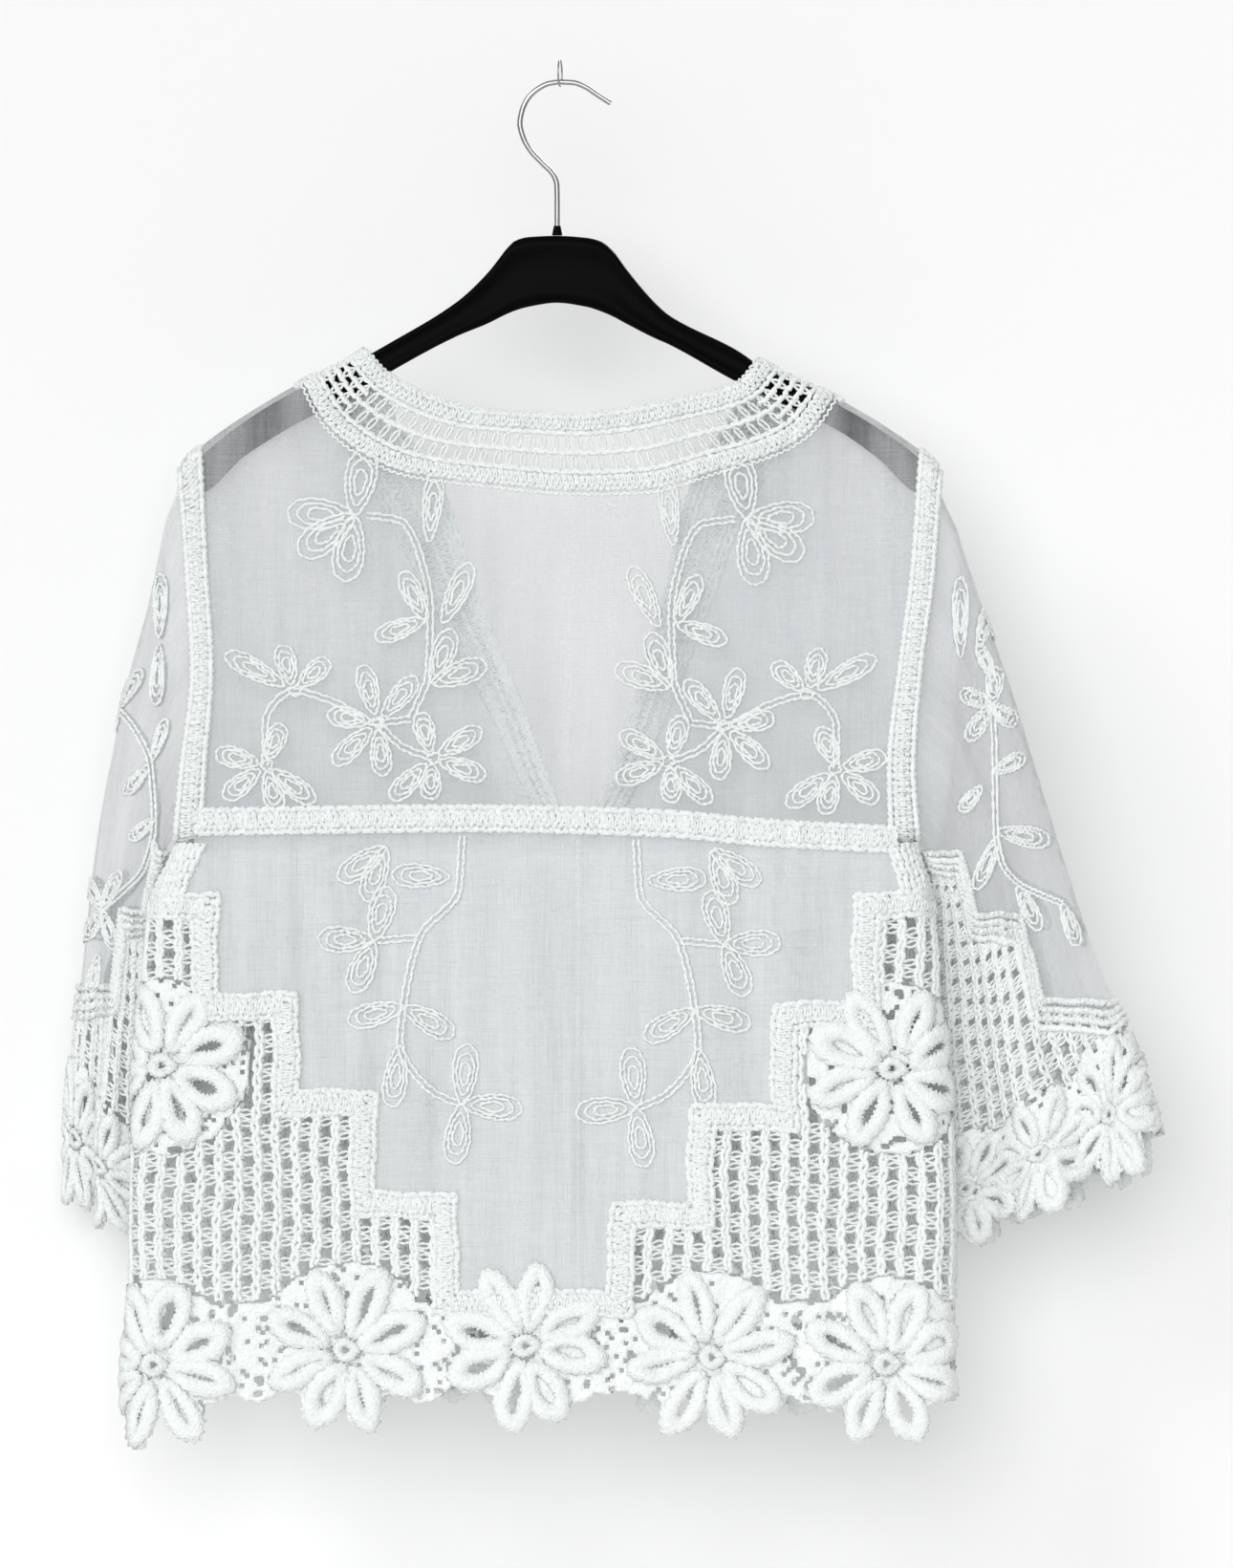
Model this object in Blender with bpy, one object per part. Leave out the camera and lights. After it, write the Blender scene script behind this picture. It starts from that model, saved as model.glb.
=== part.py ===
"""Macrame cardigan on a moulded hanger: gauze panels, crochet trims, hanger, hook and ring.

Every size below is in millimetres and is turned into metres where a mesh is made. +X is the
wearer's right, +Y the front of the garment, +Z up. The origin is the inner top of the small
ring that carries the hanger's hook, where the whole thing is held.
"""
import math
from collections import namedtuple

import bmesh
import bpy
import numpy as np
from mathutils import Vector
from mathutils.geometry import delaunay_2d_cdt

MM = 0.001
SEAM = 0.3            # gap between two cut pieces
GAUZE = 1.2           # wall of the cotton gauze
CROCHET = 2.6         # wall of the crochet trims
BACK, FRONT = -1, 1

# the hollow between back and front, flat as the garment hangs
NECK_Z, HEM_Z = -166.0, -785.0
NECK_HALF_DEPTH, HEM_HALF_DEPTH = 6.5, 20.0
SHOULDER_ROLL = 6.5   # radius of the cloth over the hanger's arm
SIDE_ROUND = 14.0     # how far the side strip reaches in from the side
UNDERARM_Z = -440.0
CENTRE_FRONT_X = 10.0

Shoulder = namedtuple("Shoulder", "x z")
SHOULDER_LINE = [
    Shoulder(-218, -238), Shoulder(-211, -226), Shoulder(-204, -219), Shoulder(-154, -186),
    Shoulder(-114, -166), Shoulder(-60, -118), Shoulder(60, -122), Shoulder(116, -171),
    Shoulder(159, -192), Shoulder(203, -220), Shoulder(211, -227), Shoulder(218, -240),
]

Side = namedtuple("Side", "z left right")
SIDE_EDGES = [
    Side(-443, -215, 200), Side(-452, -219.5, 202.5), Side(-463, -224.5, 206),
    Side(-483, -230, 209), Side(-533, -236, 215), Side(-614, -241, 221),
    Side(-689, -242, 222), Side(-743, -246, 223), Side(-790, -243, 225),
]
SIDE_HEIGHTS = np.linspace(-443.2, -787.0, 16)

Armhole = namedtuple("Armhole", "z left_in left_out right_in right_out")
ARMHOLE = [
    Armhole(-215, -204, -215, 205, 215), Armhole(-290, -200, -210, 199, 210),
    Armhole(-344, -197, -207, 192, 203), Armhole(-400, -201, -213, 186, 199),
    Armhole(-441, -203, -217, 187, 202),
]
ARM_HEIGHTS = np.linspace(-236.0, -427.0, 8)

Point = namedtuple("Point", "x z")
NECK_EDGE = [
    Point(-114, -162.5), Point(-98, -177), Point(-68, -192), Point(-46, -198), Point(-14, -200),
    Point(8, -201), Point(35, -198), Point(67, -192), Point(100, -183), Point(116, -167.5),
]
NECKBAND_FOOT = [
    Point(-148.5, -179), Point(-132, -206), Point(-104, -227), Point(-84, -234), Point(-46, -239),
    Point(13, -244), Point(49, -243), Point(89, -232), Point(121, -222), Point(140, -211),
    Point(159, -188.5),
]
YOKE_TAPE_TOP = [Point(-204, -422), Point(7, -422), Point(61, -425), Point(188, -432)]
YOKE_TAPE_FOOT = [Point(-204, -439), Point(-46, -434), Point(7, -436), Point(115, -444),
                  Point(188, -447)]
V_EDGE_LEFT = [Point(-114, -162.5), Point(-92, -205), Point(-68, -241), Point(-48, -300),
               Point(-22, -365), Point(-3, -416), Point(9.7, -440)]
V_BAND_LEFT = [Point(-148.5, -179), Point(-122, -215), Point(-100, -250), Point(-72, -305),
               Point(-38, -368), Point(-14, -420), Point(4, -441)]
V_EDGE_RIGHT = [Point(116, -167.5), Point(95, -205), Point(75, -241), Point(56, -316),
                Point(35, -386), Point(24, -416), Point(10.3, -440)]
V_BAND_RIGHT = [Point(159, -188.5), Point(130, -215), Point(106, -250), Point(79, -320),
                Point(52, -386), Point(36, -420), Point(16, -441)]

# corners of the stepped edge between gauze and lace, from each side towards the middle
Step = namedtuple("Step", "x z")
STEPS_LEFT = [Step(-193, -470), Step(-148, -527), Step(-104, -582), Step(-58, -639)]
STEPS_RIGHT = [Step(166, -470), Step(120, -532), Step(73, -590), Step(28, -645)]
STEP_FOOT_Z = -694.0
LACE_TOP_Z = -470.0
HEM_WEB_Z = -757.0     # the hem between two flowers
HEM_STEP = 7.0

Fold = namedtuple("Fold", "x_top x_hem width depth")
BODY_FOLDS = [
    Fold(-168, -182, 30, 2.4), Fold(-96, -108, 26, -2.2), Fold(-24, -18, 32, 2.0),
    Fold(58, 64, 28, -2.0), Fold(128, 146, 30, 2.6),
]

# crochet flowers of the hem: eight padded petals round an open ring
Flower = namedtuple("Flower", "x z turn")
BACK_FLOWERS = [
    Flower(-228, -737, 28), Flower(-121, -727, 23), Flower(-20, -725, 31), Flower(85, -732, 12),
    Flower(184, -735, 22), Flower(-224, -568, 20), Flower(187, -569, 25),
]
FRONT_FLOWERS = [
    Flower(-226, -735, 20), Flower(-132, -727, 30), Flower(-42, -726, 18), Flower(62, -728, 26),
    Flower(156, -732, 14), Flower(-224, -568, 20), Flower(190, -569, 25),
]
PETALS = 8
PETAL_START, PETAL_TIP = 8.0, 46.0
PETAL_HALF_WIDTH = 11.0
PETAL_RISE = 1.7
FLOWER_EYE = 3.6       # radius of the open ring in the middle

# the lace net: open cells in columns, each column half a cell lower than the next
NET_COLUMN, NET_ROW = 11.0, 16.8
NET_CELL_HALF_WIDTH, NET_CELL_HALF_HEIGHT = 2.9, 3.3

NECK_CELL_PITCH = 8.6
NECK_CELL_ROWS = ((0.27, 0.46), (0.51, 0.70))
NECK_CELL_SHARE = 0.64  # open share of a cell's pitch

# a sleeve's rings: outer fold tx ty tz, underarm fold bx by bz, and how far the ring sags
# out (knee_out) and down (knee_drop) between them, half its depth, its turn and its flutes
Ring = namedtuple("Ring", "t tx ty tz bx by bz knee_out knee_drop depth turn flute")
LEFT_SLEEVE = [
    Ring(0.00, -217.5, 0, -238, -219.5, 0, -439, 0.2, 0.90, 10, 0, 0),
    Ring(0.06, -223, 3, -264, -223, 11, -447, 1.0, 0.97, 11, 0, 0),
    Ring(0.15, -231, 9, -300, -227, 24, -463, 1.0, 1.00, 12, 0, 0),
    Ring(0.30, -247, 23, -358, -224, 38, -494, 0.95, 0.96, 14, -2, 1),
    Ring(0.50, -262, 46, -435, -217, 44, -543, 0.80, 0.80, 15, -10, 2),
    Ring(0.70, -272, 68, -515, -212, 47, -592, 0.68, 0.72, 16, -22, 5),
    Ring(0.85, -278, 88, -580, -209, 48, -632, 0.62, 0.66, 16, -32, 8),
    Ring(1.00, -281, 106, -645, -206, 50, -680, 0.56, 0.56, 16, -38, 9),
]
RIGHT_SLEEVE = [
    Ring(0.00, 217.5, 0, -240, 204.8, 0, -441, 0.2, 0.90, 10, 0, 0),
    Ring(0.06, 225, 0, -266, 207, 7, -450, 1.0, 0.97, 11, 0, 0),
    Ring(0.15, 236, 0, -300, 207.5, 18, -468, 1.0, 1.00, 12, 0, 0),
    Ring(0.30, 256, 0, -358, 206, 29, -498, 0.95, 0.96, 14, -4, 2),
    Ring(0.50, 278, -2, -430, 207, 36, -545, 0.80, 0.82, 15, -9, 4),
    Ring(0.70, 302, -4, -505, 209, 40, -592, 0.68, 0.72, 16, -14, 6),
    Ring(0.85, 326, -5, -562, 210, 43, -632, 0.62, 0.66, 16, -17, 8),
    Ring(1.00, 343, -6, -622, 213, 46, -680, 0.56, 0.56, 16, -19, 9),
]
SLEEVE_FLUTES = 2.3
SleeveStep = namedtuple("SleeveStep", "share length")
SLEEVE_STEPS = [SleeveStep(0.0, 0.73), SleeveStep(0.38, 0.52), SleeveStep(0.62, 0.36),
                SleeveStep(0.82, 0.20)]
SLEEVE_COLUMNS = (0.0, 0.02, 0.08, 0.17, 0.27, 0.38, 0.5, 0.62, 0.72, 0.82, 0.90, 0.955, 0.985, 1.0)
SLEEVE_LENGTHS = (0.0, 0.05, 0.12, 0.20, 0.28, 0.36, 0.44, 0.52, 0.62, 0.73)
SLEEVE_FLAT_WIDTH = 150.0
SLEEVE_FLAT_LENGTH = 330.0
CUFF_SCALLOPS = 3
CUFF_SCALLOP_DEPTH = 12.0
CUFF_FLOWER_Z = 48.0
CUFF_BEND = 4.0        # where a cuff's wall starts to turn round its fold
CUFF_SEAMS = {"left": (1.9, 1.4), "right": (0.8, 0.7)}    # beside and below a step, along the
                       # slanting cloth: about 0.3 mm straight across the seam

HANGER_HALF_THICKNESS = 4.2
Bar = namedtuple("Bar", "x top foot")
HANGER = [
    Bar(-209, -232, -243), Bar(-203, -224, -244), Bar(-179, -204.5, -224), Bar(-154, -189, -208),
    Bar(-114, -169.4, -187), Bar(-98, -160.5, -177), Bar(-58, -136, -155.5), Bar(-41, -120, -148.5),
    Bar(-35, -112.5, -145.5), Bar(-30, -106, -143), Bar(-25, -101.5, -141), Bar(-18, -99.6, -139),
    Bar(-2, -98.9, -136.7), Bar(15, -100, -139), Bar(23, -102, -141.5), Bar(30, -107.5, -144.5),
    Bar(37, -117, -148.3), Bar(53, -136, -156.5), Bar(62, -144, -160.5), Bar(100, -163.5, -181.5),
    Bar(116, -174.4, -189), Bar(159, -195.4, -210), Bar(180, -208, -225), Bar(203, -225, -244),
    Bar(209, -233, -244),
]

HOOK_WIRE_RADIUS = 1.5
Bend = namedtuple("Bend", "x z")
HOOK = [
    Bend(-1.6, -92.9), Bend(-1.6, -80), Bend(-1.8, -70), Bend(-3.5, -64.9), Bend(-10.3, -57.6),
    Bend(-17, -50.3), Bend(-21.2, -42.2), Bend(-22.7, -35.4), Bend(-21.6, -28.7), Bend(-18.4, -21.6),
    Bend(-13, -16.2), Bend(-6.2, -12.8), Bend(0, -12), Bend(7.2, -12.3), Bend(13.9, -14.5),
    Bend(20.5, -18.8), Bend(28.6, -24),
]
COLLAR_TOP_Z, COLLAR_FOOT_Z = -93.2, -98.6
COLLAR_TOP_RADIUS, COLLAR_FOOT_RADIUS = 1.9, 3.0
RING_INNER_HEIGHT = 13.8
RING_WIRE_RADIUS = 0.5
RING_TURN = math.radians(8)


def smooth_read(rows, key, value, at):
    """The value column at a place of the key column, on one smooth curve through the rows."""
    xs = np.array([getattr(row, key) for row in rows], float)
    ys = np.array([getattr(row, value) for row in rows], float)
    if xs[0] > xs[-1]:
        xs, ys = xs[::-1], ys[::-1]
    at = min(max(at, xs[0]), xs[-1])
    runs = np.diff(xs)
    slopes = np.diff(ys) / runs
    tangents = np.empty(len(xs))
    tangents[0], tangents[-1] = slopes[0], slopes[-1]
    same_way = slopes[1:] * slopes[:-1] > 0
    joint = 2 * slopes[1:] * slopes[:-1] / np.where(same_way, slopes[1:] + slopes[:-1], 1)
    tangents[1:-1] = np.where(same_way, joint, 0)
    i = min(int(np.searchsorted(xs, at, side="right")) - 1, len(runs) - 1)
    h, s = runs[i], (at - xs[i]) / runs[i]
    return float(
        ys[i] * (1 + 2 * s) * (1 - s) ** 2 + tangents[i] * h * s * (1 - s) ** 2
        + ys[i + 1] * s * s * (3 - 2 * s) + tangents[i + 1] * h * s * s * (s - 1)
    )


def along(points, step):
    """Points every step or so along a smooth curve through a list of x, z points."""
    knots = np.array([(p.x, p.z) for p in points], float)
    length = np.concatenate([[0], np.cumsum(np.hypot(*np.diff(knots, axis=0).T))])
    rows_x = [Bend(d, x) for d, x in zip(length, knots[:, 0])]
    rows_z = [Bend(d, z) for d, z in zip(length, knots[:, 1])]
    count = max(2, round(length[-1] / step) + 1)
    return [(smooth_read(rows_x, "x", "z", d), smooth_read(rows_z, "x", "z", d))
            for d in np.linspace(0, length[-1], count)]


def half_depth(z):
    share = (NECK_Z - z) / (NECK_Z - HEM_Z)
    return NECK_HALF_DEPTH + (HEM_HALF_DEPTH - NECK_HALF_DEPTH) * share


def fold_height(x, z):
    """Soft upright folds that start under the yoke and open towards the hem."""
    share = min(max((UNDERARM_Z + 120 - z) / (UNDERARM_Z + 120 - HEM_Z), 0), 1)
    height = 0.0
    for fold in BODY_FOLDS:
        middle = fold.x_top + (fold.x_hem - fold.x_top) * share
        away = min(abs(x - middle) / fold.width, 1)
        height += fold.depth * share * 0.5 * (1 + math.cos(math.pi * away))
    return height


def panel_point(x, v, side):
    """A point of the back or front; above the shoulder roll, v runs on over the hanger's arm."""
    roll_foot = smooth_read(SHOULDER_LINE, "x", "z", x) - SHOULDER_ROLL
    z = min(v, roll_foot)
    y = half_depth(z) + fold_height(x, z)
    angle = max(v - roll_foot, 0) / SHOULDER_ROLL
    return Vector((x, side * y * math.cos(angle), z + SHOULDER_ROLL * math.sin(angle)))


def seam_v(x):
    """How far v runs up to the shoulder seam."""
    over_the_arm = (math.pi / 2 - 1) * SHOULDER_ROLL
    return smooth_read(SHOULDER_LINE, "x", "z", x) + over_the_arm


def seam_chain(x_from, x_to):
    """The shoulder seam between two places, with the same corners for every piece on it."""
    shared = [x for x in range(-216, 220, 9) if min(x_from, x_to) + 2 < x < max(x_from, x_to) - 2]
    xs = [x_from] + (shared if x_from < x_to else shared[::-1]) + [x_to]
    return [(x, seam_v(x)) for x in xs]


def seam_ended(points, step, last=True):
    """A smooth curve whose first corner, and last unless told not, lie on the shoulder seam."""
    chain = along(points, step)
    chain[0] = (chain[0][0], seam_v(chain[0][0]))
    if last:
        chain[-1] = (chain[-1][0], seam_v(chain[-1][0]))
    return chain


def roll_lines():
    """Bends of both shoulder rolls, laid as corners so that the cloth clears the hanger."""
    lines = []
    for x_from, x_to in ((-216, -90), (92, 216)):
        for angle in (0, 30, 60):
            rise = SHOULDER_ROLL * (math.radians(angle) - math.pi / 2)
            lines.append([(x, v + rise) for x, v in seam_chain(x_from, x_to)])
    return lines


def panel(side):
    """The point function of the back or the front, and its outward-normal function."""
    def point(x, v):
        return panel_point(x, v, side)

    def normal(x, v):
        across = point(x + 0.2, v) - point(x - 0.2, v)
        up = point(x, v + 0.2) - point(x, v - 0.2)
        return across.cross(up).normalized() * -side

    return point, normal


def inside(polygon, points):
    """Which of the points lie inside a closed polygon."""
    corners, points = np.asarray(polygon, float), np.asarray(points, float)
    result = np.zeros(len(points), bool)
    for (x1, y1), (x2, y2) in zip(corners, np.roll(corners, -1, axis=0)):
        crosses = (y1 > points[:, 1]) != (y2 > points[:, 1])
        at = x1 + (points[:, 1] - y1) * (x2 - x1) / (y2 - y1 if y2 != y1 else 1)
        result ^= crosses & (points[:, 0] < at)
    return result


def distance_to(polygon, point):
    corners = np.asarray(polygon, float)
    ends = np.roll(corners, -1, axis=0)
    run, away = ends - corners, np.asarray(point, float) - corners
    share = (away * run).sum(1) / np.maximum((run * run).sum(1), 1e-9)
    nearest = corners + run * share.clip(0, 1)[:, None]
    return float(np.hypot(*(nearest - point).T).min())


def inset_outline(points, amount):
    """The outline moved inwards by an amount, for half of a seam's gap."""
    corners = np.asarray(points, float)
    corners = corners[np.hypot(*(corners - np.roll(corners, 1, axis=0)).T) > 0.2]
    before, after = corners - np.roll(corners, 1, axis=0), np.roll(corners, -1, axis=0) - corners
    before /= np.linalg.norm(before, axis=1)[:, None]
    after /= np.linalg.norm(after, axis=1)[:, None]
    turn = np.sign(np.sum(np.cross(corners, np.roll(corners, -1, axis=0))))
    inward = np.stack([-before[:, 1] - after[:, 1], before[:, 0] + after[:, 0]], 1) * turn
    inward /= np.maximum((inward * inward).sum(1), 0.5)[:, None] / 2
    return [tuple(p) for p in corners + inward * amount]


def cut_triangles(outline, holes, lines, grid_step):
    """Triangles over an outline less its holes, with the lines and a coarse grid as corners."""
    points, edges = [], []

    def add(chain, closed):
        first = len(points)
        points.extend(chain)
        edges.extend((first + i, first + i + 1) for i in range(len(chain) - 1))
        if closed:
            edges.append((len(points) - 1, first))

    add(outline, True)
    for hole in holes:
        add(hole, True)
    for line in lines:
        add(line, False)
    low, high = np.min(outline, axis=0), np.max(outline, axis=0)
    step_x, step_z = grid_step
    grid = [(x, z) for x in np.arange(low[0] + step_x / 2, high[0], step_x)
            for z in np.arange(low[1] + step_z / 2, high[1], step_z)]
    if grid:
        taken = np.asarray(points, float)
        kept = inside(outline, grid)
        clear = 0.4 * min(grid_step)
        grid = [p for p, ok in zip(grid, kept) if ok and np.hypot(*(taken - p).T).min() > clear]
        points.extend(grid)
    corners, _, faces, *_ = delaunay_2d_cdt([Vector(p) for p in points], edges, [], 0, 1e-4)
    corners = np.array([tuple(c) for c in corners])
    faces = np.array(faces)
    middles = corners[faces].mean(1)
    first, second = corners[faces[:, 1]] - corners[faces[:, 0]], corners[faces[:, 2]] - corners[faces[:, 0]]
    kept = inside(outline, middles) & (abs(np.cross(first, second)) > 1e-5)
    for hole in holes:
        kept &= ~inside(hole, middles)
    return corners, faces[kept]


def new_object(name, mesh_data, material):
    mesh = bpy.data.meshes.new(name)
    mesh_data.to_mesh(mesh)
    mesh_data.free()
    mesh.materials.append(material)
    mesh.shade_smooth()
    mesh.set_sharp_from_angle(angle=math.radians(40))
    piece = bpy.data.objects.new(name, mesh)
    bpy.context.scene.collection.objects.link(piece)
    return piece


def thick_wall(name, material, middles, normals, rises, faces, thickness):
    """A closed wall round loose faces: an outer skin with its rises, a plain inner one, rims."""
    bm = bmesh.new()
    used = sorted({int(i) for face in faces for i in face})
    outer, inner = {}, {}
    for i in used:
        half = normals[i] * (thickness / 2)
        outer[i] = bm.verts.new((middles[i] + half + normals[i] * rises[i]) * MM)
        inner[i] = bm.verts.new((middles[i] - half) * MM)
    borders = {}
    for face in faces:
        ring = [int(i) for i in face]
        bm.faces.new([outer[i] for i in ring])
        bm.faces.new([inner[i] for i in reversed(ring)])
        for a, b in zip(ring, ring[1:] + ring[:1]):
            borders[frozenset((a, b))] = None if frozenset((a, b)) in borders else (a, b)
    for edge in borders.values():
        if edge:
            a, b = edge
            bm.faces.new([outer[b], outer[a], inner[a], inner[b]])
    bmesh.ops.recalc_face_normals(bm, faces=bm.faces)
    return new_object(name, bm, material)


def sheet_piece(name, material, cloth, outline, thickness, holes=(), lines=(), rise=None,
                grid_step=(22, 38), seam=SEAM / 2):
    """A cut piece: its flat outline and holes laid on a cloth's surface and given a wall."""
    point, normal = cloth
    corners, faces = cut_triangles(inset_outline(outline, seam), holes, lines, grid_step)
    middles = [point(u, v) for u, v in corners]
    normals = [normal(u, v) for u, v in corners]
    rises = [rise(u, v) if rise else 0.0 for u, v in corners]
    return thick_wall(name, material, middles, normals, rises, faces, thickness)


def strip_piece(name, material, rows, closed, thickness, kept=None, normal=None):
    """A wall through rows of points across a strip; closed joins the last row to the first."""
    count, width = len(rows), len(rows[0])
    index = np.arange(count * width).reshape(count, width)
    middles, normals = [], []
    for i in range(count):
        for j in range(width):
            before = rows[(i - 1) % count][j] if closed or i else rows[i][j]
            after = rows[(i + 1) % count][j] if closed or i < count - 1 else rows[i][j]
            left, right = rows[i][max(j - 1, 0)], rows[i][min(j + 1, width - 1)]
            middles.append(rows[i][j])
            normals.append(normal(i, j) if normal else (after - before).cross(right - left).normalized())
    faces = []
    for i in range(count if closed else count - 1):
        for j in range(width - 1):
            k = (i + 1) % count
            if kept and not kept(i, j):
                continue
            faces.append((index[i, j], index[k, j], index[k, j + 1]))
            faces.append((index[i, j], index[k, j + 1], index[i, j + 1]))
    return thick_wall(name, material, middles, normals, [0.0] * len(middles), faces, thickness)


def petal_outline(flower, k, scale=1.0):
    """Six corners of one petal, blunt at its tip and narrow at the ring."""
    angle = math.radians(flower.turn + 360 / PETALS * k)
    way, side = np.array((math.cos(angle), math.sin(angle))), np.array((-math.sin(angle), math.cos(angle)))
    middle, length = (PETAL_START + PETAL_TIP) / 2, (PETAL_TIP - PETAL_START) / 2
    shape = ((-1.0, 0.0), (-0.35, 0.72), (0.45, 1.0), (1.0, 0.45), (1.0, -0.45), (0.45, -1.0),
             (-0.35, -0.72))
    half = PETAL_HALF_WIDTH * scale
    return [tuple(np.array((flower.x, flower.z)) + way * (middle + length * scale * a) + side * half * b)
            for a, b in shape]


def petal_crest(flower, k):
    angle = math.radians(flower.turn + 360 / PETALS * k)
    way = np.array((math.cos(angle), math.sin(angle)))
    return [tuple(np.array((flower.x, flower.z)) + way * r) for r in (PETAL_START + 9, PETAL_TIP - 8)]


def oblong(x, z, half_width, half_height):
    return [(x + half_width * a, z + half_height * b) for a, b in ((-1, 1), (1, 1), (1, -1), (-1, -1))]


def flower_lines(flowers, outline, outlined):
    """Petal crests, and outlines where asked, that lie on a piece, and the eyes to cut in it."""
    lines, crests, eyes = [], [], []
    for flower in flowers:
        for k in range(PETALS):
            crest = petal_crest(flower, k)
            if inside(outline, crest).all():
                ring = petal_outline(flower, k, 0.97)
                if outlined and inside(outline, ring).all():
                    lines.append(ring + ring[:1])
                lines.append(crest)
                crests.extend(crest)
        eye = oblong(flower.x, flower.z, FLOWER_EYE, FLOWER_EYE)
        if inside(outline, eye).all() and distance_to(outline, (flower.x, flower.z)) > 8:
            eyes.append(eye)
    return lines, crests, eyes


def crest_rise(crests):
    places = np.array(crests) if crests else np.empty((0, 2))

    def rise(u, v):
        return PETAL_RISE if len(places) and np.hypot(*(places - (u, v)).T).min() < 0.05 else 0.0
    return rise


def net_cells(outline, flowers, low, high, clear=7.0):
    """Open cells of the net inside a piece, clear of its edges and of the petals."""
    cells = []
    petals = [petal_outline(f, k, 1.06) for f in flowers for k in range(PETALS)]
    first, last = math.ceil(low[0] / NET_COLUMN), math.floor(high[0] / NET_COLUMN)
    for column in range(first, last + 1):
        x = column * NET_COLUMN
        z = math.floor(high[1] / NET_ROW) * NET_ROW - (column % 2) * NET_ROW / 2
        while z > low[1]:
            cell = oblong(x, z, NET_CELL_HALF_WIDTH, NET_CELL_HALF_HEIGHT)
            free = inside(outline, cell).all() and distance_to(outline, (x, z)) > clear
            if free and not any(inside(p, cell + [(x, z)]).any() for p in petals):
                cells.append(cell)
            z -= NET_ROW
    return cells


def hem_height(x, flowers):
    """The scalloped hem: the web's line, or the lowest petal tip there."""
    lowest = HEM_WEB_Z
    middle, length = (PETAL_START + PETAL_TIP) / 2, (PETAL_TIP - PETAL_START) / 2 + 2
    for flower in flowers:
        if flower.z > HEM_WEB_Z + 60:
            continue
        for k in range(PETALS):
            angle = math.radians(flower.turn + 360 / PETALS * k)
            cx, cz = flower.x + middle * math.cos(angle), flower.z + middle * math.sin(angle)
            reach = math.hypot(length * math.cos(angle), PETAL_HALF_WIDTH * math.sin(angle))
            if abs(x - cx) < reach:
                drop = math.hypot(length * math.sin(angle), PETAL_HALF_WIDTH * math.cos(angle))
                slant = (length ** 2 - PETAL_HALF_WIDTH ** 2) * math.sin(angle) * math.cos(angle)
                s = (x - cx) / reach
                lowest = min(lowest, cz + slant / reach * s - length * PETAL_HALF_WIDTH / reach
                             * math.sqrt(max(1 - s * s, 0)) if drop else lowest)
    return lowest


def side_x(z, sign):
    """The inner edge of a side strip."""
    return smooth_read(SIDE_EDGES, "z", "left" if sign < 0 else "right", z) - sign * SIDE_ROUND


def side_chain(sign, top, foot):
    """The edge beside a side strip, with the strip's own corners."""
    heights = [top] + [z for z in SIDE_HEIGHTS if foot + 3 < z < top - 3] + [foot]
    return [(side_x(z, sign), z) for z in heights]


def arm_chain(sign, foot):
    """A panel's edge along the armhole tape, from the shoulder seam down."""
    top_x = armhole_x(-216, sign, "in")
    heights = [seam_v(top_x) - 1] + list(ARM_HEIGHTS) + [foot]
    return [(armhole_x(z, sign, "in"), z) for z in heights]


def armhole_x(z, sign, edge):
    column = ("left_" if sign < 0 else "right_") + edge
    return smooth_read(ARMHOLE, "z", column, z)


def step_line(steps, to_x):
    """The stepped edge from a side down to the middle, ending at to_x."""
    line = []
    for k, step in enumerate(steps):
        line.append((step.x, step.z))
        below = steps[k + 1].z if k + 1 < len(steps) else STEP_FOOT_Z
        line.append((step.x, below))
    return line + [(to_x, STEP_FOOT_Z)]


def make_back(gauze, crochet):
    cloth = panel(BACK)
    arm_left, arm_right = arm_chain(-1, -422)[:-2] + arm_chain(-1, -422)[-1:], arm_chain(1, -432)[::-1]
    foot = seam_ended(NECKBAND_FOOT, 14)
    yoke = foot[::-1] + seam_chain(foot[0][0], arm_left[0][0])[1:-1] + arm_left
    yoke += along(YOKE_TAPE_TOP, 30)[1:-1] + arm_right
    yoke += seam_chain(arm_right[-1][0], foot[-1][0])[1:-1]
    sheet_piece("back_yoke", gauze, cloth, yoke, GAUZE, lines=roll_lines(),
                grid_step=(26, 38))

    tape = along(YOKE_TAPE_TOP, 30) + along(YOKE_TAPE_FOOT, 30)[::-1]
    tape[0], tape[-1] = (armhole_x(-422, -1, "in"), -422), (armhole_x(-439, -1, "in"), -439)
    half = len(along(YOKE_TAPE_TOP, 30))
    tape[half - 1] = (armhole_x(-432, 1, "in"), -432)
    tape[half] = (side_x(-443, 1) - SEAM, -447)
    sheet_piece("yoke_tape", crochet, cloth, tape, CROCHET, grid_step=(400, 400))

    steps = step_line(STEPS_LEFT, -15) + step_line(STEPS_RIGHT, -15)[::-1][1:]
    top = along(YOKE_TAPE_FOOT, 30)
    lower = top[1:-1] + side_chain(1, -448, LACE_TOP_Z) + steps[::-1]
    lower += side_chain(-1, -443.2, LACE_TOP_Z)[::-1]
    sheet_piece("back_lower", gauze, cloth, lower, GAUZE, grid_step=(24, 38))

    holes = lace_piece("back_lace", crochet, BACK, side_x, steps, BACK_FLOWERS, True)
    band_holes = make_neckband_back(crochet, cloth)
    return holes + band_holes


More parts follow.
